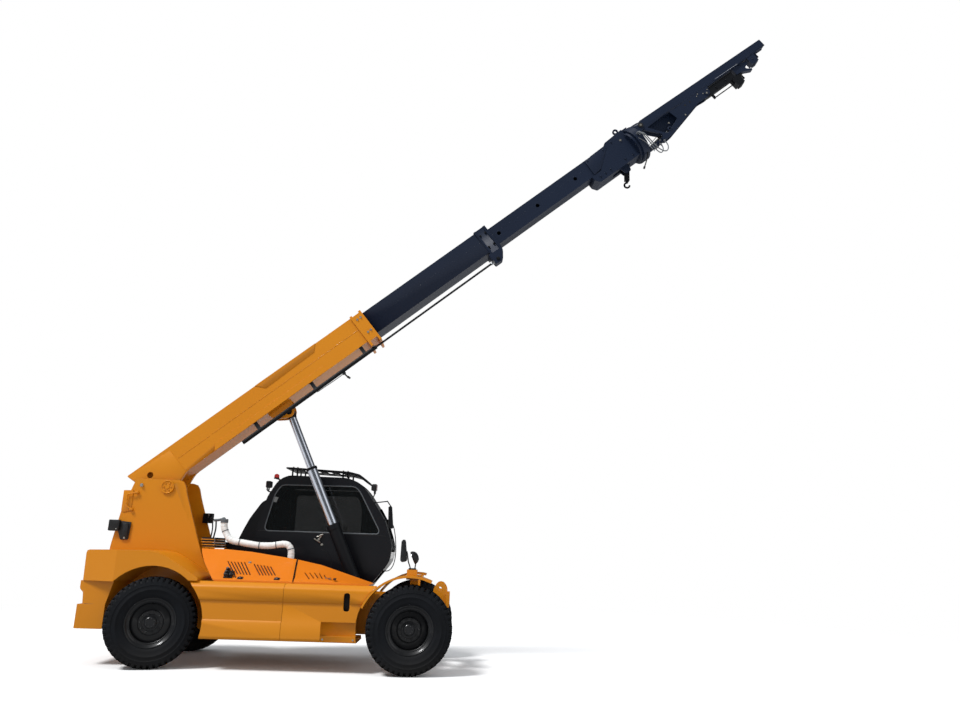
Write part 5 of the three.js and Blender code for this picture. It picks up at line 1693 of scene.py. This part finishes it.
@dataclass
class HeadFittings:
    """Bolts, hose ends, pipes and grease points on the slewing head and the jib."""

    ring_radius: float = 0.312
    jib_side: float = 0.075
    tilt_pin: Point = (10.330, 0.430)
    rod_side: float = -0.079

    def head(self) -> None:
        """Builds what sits on the slewing head."""
        zinc, steel, black = Form(BOOM), Form(BOOM), Form(BOOM)
        along, up = self.tilt_pin
        for y, z in around(18, self.ring_radius, 0.25):
            black.bolt((10.095, y, HEAD_AXIS_UP + z), (1, 0, 0), 0.013)
        for side in (-1, 1):
            black.rod((along, side * 0.107, up), (along, side * 0.119, up), 0.050, sides=28, rounding=0.003)
            zinc.bolt((along, side * 0.118, up), (0, side, 0), 0.016)
            black.rod((10.150, side * 0.054, -0.020), (10.150, side * 0.064, -0.020), 0.030, sides=24,
                      rounding=0.002)
        for points in HEAD_HOSES.values():
            for end, near in ((points[0], points[1]), (points[-1], points[-2])):
                start = Vector(end)
                out = (Vector(near) - start).normalized()
                steel.rod(start + out * 0.001, start + out * 0.026, 0.0150, sides=18, rounding=0.002)
                steel.rod(start - out * 0.016, start + out * 0.001, 0.0225, sides=6)
        black.pipe(smooth_route([(10.060, -0.170, -0.070), (10.000, -0.172, -0.130),
                                 (9.890, -0.174, -0.215),
                                 (9.775, -0.176, -0.290)]), 0.011)
        black.rod((9.800, -0.1755, -0.274), (9.760, -0.1765, -0.300), 0.018, rounding=0.003)
        black.pipe(smooth_route([(10.100, -0.180, -0.050), (10.180, -0.165, -0.120),
                                 (10.300, -0.150, -0.110),
                                 (10.380, -0.140, -0.060)]), 0.009)
        steel.rod((10.400, -0.112, -0.030), (10.400, -0.142, -0.030), 0.022, sides=6)
        steel.rod((10.290, -0.112, -0.050), (10.290, -0.138, -0.050), 0.018, sides=6)
        steel.pipe(smooth_route([(9.985, -0.362, 0.175), (10.020, -0.372, 0.060), (10.060, -0.330, -0.070),
                                 (10.110, -0.250, -0.170), (10.140, -0.190, -0.110)]), 0.006)
        zinc.bolt((10.093, -0.180, 0.330), (1, 0, 0), 0.018)
        zinc.finish("head_bolts", ZINC, "slew_head")
        steel.finish("head_hose_ends", STEEL, "slew_head")
        black.finish("head_pipes", TRIM, "slew_head")

    def jib(self) -> None:
        """Builds what sits on the jib and its jaw."""
        zinc, black, trim, jaw, panel, steel = (Form(BOOM) for _ in range(6))
        for side in (-1, 1):
            y, out = side * self.jib_side, (0, side, 0)
            for along, up in ((10.808, 0.160), (11.171, 0.098)):
                zinc.bolt((along, y, up), out, 0.012)
            trim.turned([(-0.001, 0.062), (-0.001, 0.082), (0.006, 0.080), (0.007, 0.064), (0.006, 0.0)],
                        axes_place((self.tilt_pin[0], y, self.tilt_pin[1]), out, (1, 0, 0)), sides=36)
            trim.turned([(0.000, 0.021), (0.000, 0.044), (0.006, 0.042), (0.006, 0.021)],
                        axes_place((10.745, side * 0.078, 0.060), out, (1, 0, 0)), sides=28, closed=True)
            trim.rod((11.050, y, 0.330), (13.400, y, 0.330), 0.004, sides=SEAM_SIDES)
            # Near-black discs on the jib's sides: painted shade standing for the dark inside of its holes.
            for along in (11.30, 11.42):
                black.rod((along, side * 0.074, 0.255), (along, side * 0.0765, 0.255), 0.017, sides=20)
            for along, up in ((11.600, 0.262), (11.649, 0.292), (11.741, 0.237), (11.860, 0.255)):
                zinc.bolt((along, y, up), out, 0.009)
            trim.rod((11.800, y, 0.205), (11.800, side * 0.087, 0.205), 0.042, sides=28, rounding=0.003)
            zinc.bolt((11.800, side * 0.086, 0.205), out, 0.014)
            for along in (12.05, 12.30):
                jaw.bolt((along, side * 0.050, 0.200), out, 0.014)
            trim.bolt((12.740, side * 0.045, 0.285), out, 0.013)
            trim.bolt((13.020, side * 0.070, 0.235), out, 0.013)
        panel.plate([(10.405, 0.345), (10.975, 0.365), (11.015, 0.130), (10.695, 0.005), (10.625, 0.005)],
                    0.062, 0.070)
        steel.rod((12.128, self.rod_side, 0.334), (12.700, self.rod_side, 0.322), 0.0055)
        panel.finish("jib_inner_panel", NAVY, "jib")
        steel.finish("jib_tie_rod", CHROME, "jib")
        zinc.finish("jib_bolts", ZINC, "jib")
        black.finish("jib_hole_painted_shade", PAINTED_SHADE, "jib")
        trim.finish("jib_trim", NAVY, "jib")
        jaw.finish("jaw_bolts", BLACK, "jaw")

    def build(self) -> None:
        """Builds the fittings of the head and the jib."""
        self.head()
        self.jib()


@dataclass
class WorkLamp:
    """A square lamp on a swivel bracket.

    Place: local X leaves the lens, local Z is up.
    """

    name: str
    centre: Point
    way: Point
    stem: tuple[Point, ...]
    fins: int = 5
    fin_pitch: float = 0.018

    def build(self) -> None:
        """Builds the lamp."""
        place = axes_place(self.centre, self.way, Vector((0, 0, 1)).cross(Vector(self.way)))
        body = Form(MACHINE @ place)
        body.block((-0.045, -0.052, -0.056), (0.028, 0.052, 0.056), 0.010)
        for i in range(self.fins):
            y = -0.036 + self.fin_pitch * i
            body.block((-0.060, y - 0.003, -0.048), (-0.040, y + 0.003, 0.048), 0.001)
        body.block((-0.012, -0.062, -0.020), (0.012, 0.062, 0.000), 0.004)
        body.block((-0.012, -0.062, -0.092), (0.012, -0.057, 0.000), 0.002)
        body.block((-0.012, 0.057, -0.092), (0.012, 0.062, 0.000), 0.002)
        body.block((-0.014, -0.062, -0.096), (0.014, 0.062, -0.088), 0.002)
        body.finish(f"{self.name}_body", TRIM, "chassis")
        stem = Form(MACHINE)
        stem.pipe(smooth_route(self.stem), 0.010)
        stem.rod(self.stem[0], Vector(self.stem[0]) + Vector((0, 0, 0.016)), 0.018)
        stem.finish(f"{self.name}_stem", TRIM, "chassis")
        glass = Form(MACHINE @ place)
        glass.block((0.027, -0.045, -0.049), (0.034, 0.045, 0.049), 0.003)
        glass.finish(f"{self.name}_lens", CLEAR, "chassis")


@dataclass
class CabFittings:
    """Beacon, lamps, mirrors, seals, latch and wiper of the cab."""

    side: float = 0.360
    beacon_side: float = 0.420
    lever_gap: float = 0.018
    above_guard: float = 3.3
    seal_radius: float = 0.012

    def outline(self, node: str, way: int) -> list[Vector]:
        """The rim of a flat pane, in order, on the side that faces a way along Y.

        Args:
            node: the pane's CAD node.
            way: -1 or 1.

        Returns:
            The rim's points in the machine's frame.
        """
        points = [v.co.copy() for v in frame["nodes"][node].data.vertices]
        edge = way * max(way * p.y for p in points)
        rim = {(round(p.x, 4), round(p.z, 4)) for p in points if abs(p.y - edge) < 0.001}
        middle = [sum(p[k] for p in rim) / len(rim) for k in (0, 1)]
        ring = sorted(rim, key=lambda p: math.atan2(p[1] - middle[1], p[0] - middle[0]))
        return [Vector((x, edge, z)) for x, z in ring]

    def seal(self, node: str, way: int, name: str, body: str) -> None:
        """Lays a rubber seal round a pane.

        Args:
            node: the pane's CAD node.
            way: the side of the pane, along Y.
            name: the piece's name.
            body: the CAD body it moves with.
        """
        radius = self.seal_radius
        ring = [p + Vector((0, way * radius, 0)) for p in self.outline(node, way)]
        start = (ring[0] + ring[-1]) / 2
        Form().pipe([start, *ring, start], radius, sides=10).finish(name, SEAL, body)

    def beacon(self) -> None:
        """Builds the beacon on its arm."""
        base = Form(MACHINE)
        arm = ((1.334, 2.786), (1.290, 2.800), (1.240, 2.818), (1.215, 2.822))
        base.pipe(smooth_route([(x, self.beacon_side, z) for x, z in arm]), 0.011)
        up = axes_place((1.220, self.beacon_side, 2.818), (0, 0, 1), (1, 0, 0))
        base.turned([(0.0, 0.0), (0.0, 0.040), (0.004, 0.046), (0.018, 0.046), (0.020, 0.040),
                     (0.020, 0.0)], up)
        base.finish("beacon_base", TRIM, "chassis")
        dome = Form(MACHINE)
        dome.turned([(0.020, 0.0), (0.020, 0.040), (0.050, 0.041), (0.066, 0.037), (0.076, 0.028),
                     (0.082, 0.014),
                     (0.083, 0.0)], up, sides=36)
        dome.finish("beacon_dome", RED, "chassis", ["beacon"])

    def latch(self) -> None:
        """Builds the pale release lever and the curved seam on the cab's inner side."""
        y = self.side
        lever, seam = Form(MACHINE), Form(MACHINE)
        bar = y - self.lever_gap
        for (x0, z0), (x1, z1), size in (
            ((1.945, 1.862), (2.050, 1.800), 0.011), ((1.985, 1.888), (2.032, 1.905), 0.010),
            ((2.032, 1.905), (2.088, 1.935), 0.010),
        ):
            lever.rod((x0, bar, z0), (x1, bar, z1), size, rounding=0.003)
        lever.rod((2.020, y, 1.850), (2.020, y - 0.024, 1.850), 0.018, rounding=0.003)
        lever.rod((2.020, bar, 1.850), (2.060, bar, 1.900), 0.009)
        lever.bolt((2.075, y, 1.770), (0, -1, 0), 0.014)
        lever.finish("cab_latch", ZINC, "chassis")
        route = smooth_route([(2.069, y, 1.690), (2.140, y, 1.672), (2.200, y, 1.620), (2.238, y, 1.540),
                              (2.252, y, 1.440), (2.250, y, 1.300)])
        seam.pipe(route, 0.0035, sides=8)
        seam.pipe([(1.010, y, 1.965), (3.120, y, 1.935)], 0.0030, sides=8)
        seam.finish("cab_seams", TRIM, "chassis")

    def mirrors(self) -> None:
        """Builds the cab mirror's glass and rim."""
        glass, rim = Form(MACHINE), Form(MACHINE)
        glass.plate([(3.164, 2.080), (3.1505, 2.400), (3.1475, 2.400), (3.161, 2.080)], 0.242, 0.328)
        for y in (0.340, 0.230):
            rim.rod((3.163, y, 2.075), (3.150, y, 2.405), 0.008, sides=10)
        rim.block((3.178, 0.270, 2.180), (3.215, 0.300, 2.300), 0.006)
        glass.finish("cab_mirror_glass", MIRROR, "chassis")
        rim.finish("cab_mirror_rim", TRIM, "chassis")

    def roof(self) -> None:
        """Builds the guard's bolts and the windscreen wiper."""
        zinc, wiper = Form(), Form(MACHINE)
        guard = Surface("roof_guard")
        for x in (1.488, 1.560, 2.330, 2.410):
            for y in (0.420, 1.100):
                zinc.bolt(guard.drop((x, y), self.above_guard).translation, (0, 0, 1), 0.014)
        zinc.finish("roof_guard_bolts", ZINC, "chassis")
        front = Surface("windscreen")
        line = [front.seat((4.2, 0.760 + dy, z),
                           (-1, 0, 0)).translation - MACHINE.translation + Vector((0.020, 0, 0))
                for dy, z in ((0.0, 1.700), (0.05, 1.900), (0.12, 2.150), (0.20, 2.400))]
        wiper.pipe(line, 0.006, sides=8)
        wiper.pipe([p + Vector((-0.012, 0.012, 0)) for p in line[1:]], 0.007, sides=8)
        wiper.rod(line[0] + Vector((-0.024, 0, 0)), line[0] + Vector((0.010, 0, 0)), 0.018)
        wiper.finish("windscreen_wiper", TRIM, "chassis")

    def build(self) -> None:
        """Builds everything on the cab."""
        self.seal("cab_side_glass", -1, "side_glass_seal", "chassis")
        self.seal("cab_door_glass", 1, "door_glass_seal", "cab_door")
        self.beacon()
        self.latch()
        self.mirrors()
        self.roof()
        WorkLamp("rear_lamp", (1.095, 0.420, 2.720), (-1, 0, 0),
                 ((1.095, 0.420, 2.612), (1.130, 0.420, 2.600), (1.190, 0.420, 2.610))).build()
        WorkLamp("front_lamp", (2.885, 0.400, 2.725), (1, 0, 0),
                 ((2.885, 0.400, 2.620), (2.872, 0.400, 2.585), (2.845, 0.400, 2.540))).build()


@dataclass
class FenderMirrors:
    """The tall and the round mirror on the front fender's box."""

    stand: Point = (3.640, -0.950, 1.450)

    def build(self) -> None:
        """Builds both heads, their stems and their glass."""
        place = MACHINE @ Matrix.Translation(Vector(self.stand))
        body, glass = Form(place), Form(place)
        body.block((-0.040, -0.050, 0.0003), (0.070, 0.050, 0.020), 0.006)
        body.pipe(smooth_route([(-0.015, 0, 0.015), (-0.030, 0, 0.060), (-0.050, 0, 0.110),
                                (-0.065, 0, 0.200),
                                (-0.080, 0, 0.260)]), 0.009)
        body.pipe(smooth_route([(0.050, 0, 0.015), (0.056, 0, 0.060), (0.060, 0, 0.110),
                                (0.064, 0, 0.170)]), 0.009)
        body.plate([(-0.166, 0.095, 0.04), (-0.158, 0.425, 0.04), (-0.104, 0.425, 0.04),
                    (-0.066, 0.115, 0.04)],
                   -0.048, 0.048, 0.012)
        body.rod((-0.120, 0, 0.250), (-0.090, 0, 0.255), 0.030, rounding=0.004)
        across = axes_place((0.052, 0, 0.182), (0.90, 0, 0.40), (0, 1, 0))
        body.turned([(-0.046, 0.0), (-0.046, 0.090), (-0.040, 0.095), (-0.020, 0.094), (0.010, 0.080),
                     (0.036, 0.050), (0.046, 0.0)], across, sides=40)
        glass.turned([(-0.046, 0.0), (-0.048, 0.0), (-0.048, 0.082), (-0.046, 0.082)], across, sides=40)
        glass.plate([(-0.167, 0.120), (-0.161, 0.400), (-0.164, 0.400), (-0.170, 0.120)], -0.038, 0.038)
        body.finish("fender_mirror_bodies", TRIM, "chassis", ["fender_mirrors"])
        glass.finish("fender_mirror_glass", MIRROR, "chassis")


# ------------------------------------------------------------------ seat
@dataclass
class Pad:
    """A padded block of the seat, blown up a little by a cloth simulation.

    The blocks are (low corner, high corner, rounding) in seat coordinates.
    """

    name: str
    place: Matrix
    blocks: tuple[tuple[Point, Point, float], ...]
    cap: float = 0.014
    voxel: float = 0.009
    pressure: float = 4.0
    frames: int = 20

    @staticmethod
    def evaluated(piece: bpy.types.Object) -> bpy.types.Mesh:
        """The mesh of a piece with its modifiers applied."""
        bpy.context.view_layer.update()
        return bpy.data.meshes.new_from_object(piece.evaluated_get(bpy.context.evaluated_depsgraph_get()))

    def blown(self, data: bpy.types.Mesh) -> bpy.types.Mesh:
        """Blows the cover up with cloth, no point further than the cap.

        Args:
            data: the remeshed cover.

        Returns:
            The swollen cover.
        """
        scene = bpy.context.scene
        piece = bpy.data.objects.new(f"{self.name}_cover", data)
        scene.collection.objects.link(piece)
        cloth = piece.modifiers.new("cloth", "CLOTH")
        cloth.settings.use_pressure = True
        cloth.settings.uniform_pressure_force = self.pressure
        cloth.settings.effector_weights.gravity = 0.0
        for number in range(1, self.frames + 1):
            scene.frame_set(number)
        puffed = self.evaluated(piece)
        for vertex, start in zip(puffed.vertices, data.vertices):
            move = vertex.co - start.co
            if move.length > self.cap:
                vertex.co = start.co + move * (self.cap / move.length)
        scene.frame_set(1)
        bpy.data.objects.remove(piece)
        return puffed

    def build(self) -> None:
        """Builds the pad."""
        form = Form(self.place)
        for low, high, rounding in self.blocks:
            form.block(low, high, rounding)
        data = bpy.data.meshes.new(self.name)
        form.mesh.to_mesh(data)
        form.mesh.free()
        piece = bpy.data.objects.new(f"{self.name}_raw", data)
        bpy.context.scene.collection.objects.link(piece)
        remesh = piece.modifiers.new("remesh", "REMESH")
        remesh.mode = "VOXEL"
        remesh.voxel_size = self.voxel
        relaxed = piece.modifiers.new("smooth", "SMOOTH")
        relaxed.iterations = 4
        shaped = self.evaluated(piece)
        bpy.data.objects.remove(piece)
        shaped = self.blown(shaped)
        pad = dress(shaped, self.name, CLOTH, "chassis", ["driver_seat"], 180.0)
        fine = pad.modifiers.new("fine", "SUBSURF")
        fine.levels = fine.render_levels = 1


@dataclass
class Seat:
    """The driver's seat: cushion and back with side bolsters, and a moulded pan."""

    middle: float = 0.760

    def build(self) -> None:
        """Builds the pads and the pan."""
        cushion = MACHINE @ Matrix.Translation((1.480, self.middle, 1.2103))
        Pad("seat_cushion", cushion, (
            ((0.030, -0.150, 0.040), (0.500, 0.150, 0.105), 0.020),
            ((0.040, -0.222, 0.040), (0.490, -0.158, 0.120), 0.024),
            ((0.040, 0.158, 0.040), (0.490, 0.222, 0.120), 0.024),
            ((0.440, -0.200, 0.045), (0.512, 0.200, 0.112), 0.026),
        )).build()
        back = MACHINE @ axes_place((1.455, self.middle, 1.320), (-0.125, 0, 0.780), (0, 1, 0))
        Pad("seat_back", back, (
            ((0.010, -0.150, -0.035), (0.520, 0.150, 0.030), 0.022),
            ((0.020, -0.220, -0.040), (0.500, -0.158, 0.048), 0.024),
            ((0.020, 0.158, -0.040), (0.500, 0.220, 0.048), 0.024),
            ((0.560, -0.130, -0.030), (0.735, 0.130, 0.035), 0.028),
        )).build()
        pan = Form(MACHINE)
        low = 1.2105
        pan.block((1.490, self.middle - 0.230, low), (2.000, self.middle + 0.230, low + 0.040), 0.010)
        pan.plate([(1.490, low + 0.010), (1.395, 1.300, 0.03), (1.310, 2.040, 0.03), (1.335, 2.050, 0.02),
                   (1.425, 1.310, 0.03),
                   (1.520, low + 0.045)], self.middle - 0.225, self.middle + 0.225, 0.006)
        for side in (-1, 1):
            pan.rod((1.440, self.middle + side * 0.238, 1.330), (1.440, self.middle + side * 0.222, 1.330),
                    0.035)
            pan.rod((1.365, self.middle + side * 0.060, 1.800), (1.345, self.middle + side * 0.060, 1.930),
                    0.008)
        pan.finish("seat_pan", TRIM, "chassis")


# ------------------------------------------------------------------ solids kept as they are
class Skins:
    """The CAD solids that need no new shape, with smooth round parts and their finishes."""

    def build(self) -> None:
        """Dresses every solid that no piece stands for yet."""
        for node, solid in sorted(frame["nodes"].items()):
            if solid.hide_render:
                continue
            finish = NODE_FINISH.get(node, SLOT_FINISH[NODE_SLOT[node]])
            dress(merged_copy(node), f"{node}_skin", finish, NODE_BODY[node], [node], smooth=32.0)


# ------------------------------------------------------------------ studio
@dataclass
class Studio:
    """Camera, lamps, floor and white surroundings."""

    camera_place: Point = (-0.050, -12.415, 1.738)
    yaw: float = -1.28
    pitch: float = 14.32
    roll: float = 1.83
    lens: float = 28.125
    world_strength: float = 0.62
    mirrored: float = 0.20
    sun_strength: float = 2.9
    sky: str = "f4f7fb"
    fade: tuple[float, float] = (30.0, 190.0)
    floor_reach: float = 120.0

    def camera(self) -> None:
        """Sets the camera up."""
        data = bpy.data.cameras.new("camera")
        data.lens = self.lens
        data.sensor_width = 36.0
        data.clip_end = 500.0
        camera = bpy.data.objects.new("camera", data)
        yaw, pitch = math.radians(self.yaw), math.radians(self.pitch)
        ahead = Vector((-math.sin(yaw) * math.cos(pitch), math.cos(yaw) * math.cos(pitch), math.sin(pitch)))
        right = Vector((math.cos(yaw), math.sin(yaw), 0))
        level = Matrix((right, right.cross(ahead), -ahead)).transposed().to_4x4()
        tip = Matrix.Rotation(math.radians(self.roll), 4, "Z")
        camera.matrix_world = Matrix.Translation(Vector(self.camera_place)) @ level @ tip
        bpy.context.scene.collection.objects.link(camera)
        bpy.context.scene.camera = camera

    def lamps(self) -> None:
        """Adds a soft sun from above the camera's left and a weaker one from the right."""
        for name, strength, angle, way in (
            ("key_sun", self.sun_strength, 14.0, (0.62, 0.46, -1.0)),
            ("fill_sun", 0.12 * self.sun_strength, 40.0, (-0.9, 0.5, -0.45)),
        ):
            data = bpy.data.lights.new(name, "SUN")
            data.energy = strength
            data.angle = math.radians(angle)
            lamp = bpy.data.objects.new(name, data)
            lamp.rotation_euler = Vector(way).to_track_quat("-Z", "Y").to_euler()
            bpy.context.scene.collection.objects.link(lamp)

    def surroundings(self) -> None:
        """Makes the world plain white where it is seen, and soft light elsewhere."""
        shader = Shader("surroundings", world=True)
        rays = shader.node("ShaderNodeLightPath", {}, {}).outputs
        straight, through = (Value(shader, rays[f"Is {kind} Ray"]) for kind in ("Camera", "Transmission"))
        strength = shader.node("ShaderNodeMapRange", {}, {
            "Value": rays["Is Glossy Ray"], "To Min": self.world_strength,
            "To Max": self.mirrored * self.world_strength,
        }).outputs[0]
        light = shader.node("ShaderNodeBackground", {}, {0: tint(self.sky), 1: strength}).outputs[0]
        white = shader.node("ShaderNodeBackground", {}, {0: WHITE}).outputs[0]
        seen = straight.math("MAXIMUM", straight, through)
        bpy.context.scene.world = shader.end(shader.node("ShaderNodeMixShader", {},
                                                         {0: seen, 1: light, 2: white}))

    def floor(self) -> None:
        """Lays a wide pale floor that fades into the white surroundings."""
        shader = Shader("pale_floor")
        x, y, _ = shader.axes()
        away = (x * x + y * y).step(*self.fade)
        seen = Value(shader, shader.node("ShaderNodeLightPath", {}, {}).outputs["Is Camera Ray"])
        pale = shader.mix(seen, (0.34, 0.34, 0.34, 1.0), (0.95, 0.95, 0.95, 1.0))
        matt = shader.node("ShaderNodeBsdfDiffuse", {}, {"Color": pale})
        white = shader.node("ShaderNodeEmission", {}, {"Color": WHITE, "Strength": 1.0})
        mixed = shader.node("ShaderNodeMixShader", {}, {0: away, 1: matt.outputs[0], 2: white.outputs[0]})
        part = bmesh.new()
        bmesh.ops.create_grid(part, x_segments=1, y_segments=1, size=self.floor_reach)
        data = bpy.data.meshes.new("floor")
        part.to_mesh(data)
        part.free()
        data.materials.append(shader.end(mixed))
        floor = bpy.data.objects.new("floor", data)
        bpy.context.scene.collection.objects.link(floor)

    def build(self) -> None:
        """Builds the studio."""
        self.camera()
        self.lamps()
        self.surroundings()
        self.floor()
        bpy.context.scene.view_settings.view_transform = "Standard"


def main() -> None:
    """Builds the machine's looks."""
    logging.basicConfig(level=logging.INFO, format="%(name)s: %(message)s")
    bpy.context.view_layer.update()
    Studio().build()
    Cords().build()
    for corner, dish, side in (
        ("rear_right", 0.070, Side.RIGHT), ("rear_left", 0.070, Side.LEFT),
        ("front_right", 0.020, Side.RIGHT), ("front_left", 0.020, Side.LEFT),
    ):
        Wheel(corner, dish, side).build()
    LiftCylinder().build()
    TiltCylinder().build()
    Hood("engine_hood", (
        Louvres(((0.871, -0.654), (1.059, -0.899)), ((1.117, -0.651), (1.284, -0.880)), 6),
        Louvres(((1.266, -0.659), (1.429, -0.883)), ((1.512, -0.653), (1.650, -0.878)), 6),
    )).build()
    Hood("front_hood", (Louvres(((2.040, -0.712), (2.161, -0.930)), ((2.330, -0.700), (2.385, -0.800)),
                                5), )).build()
    for part in (HoodFittings, TowerFittings, AirDuct, SideFittings, BoomFittings, HeadFittings,
                 CabFittings,
                 FenderMirrors, Seat, Skins):
        part().build()


if __name__ == "__main__":
    main()
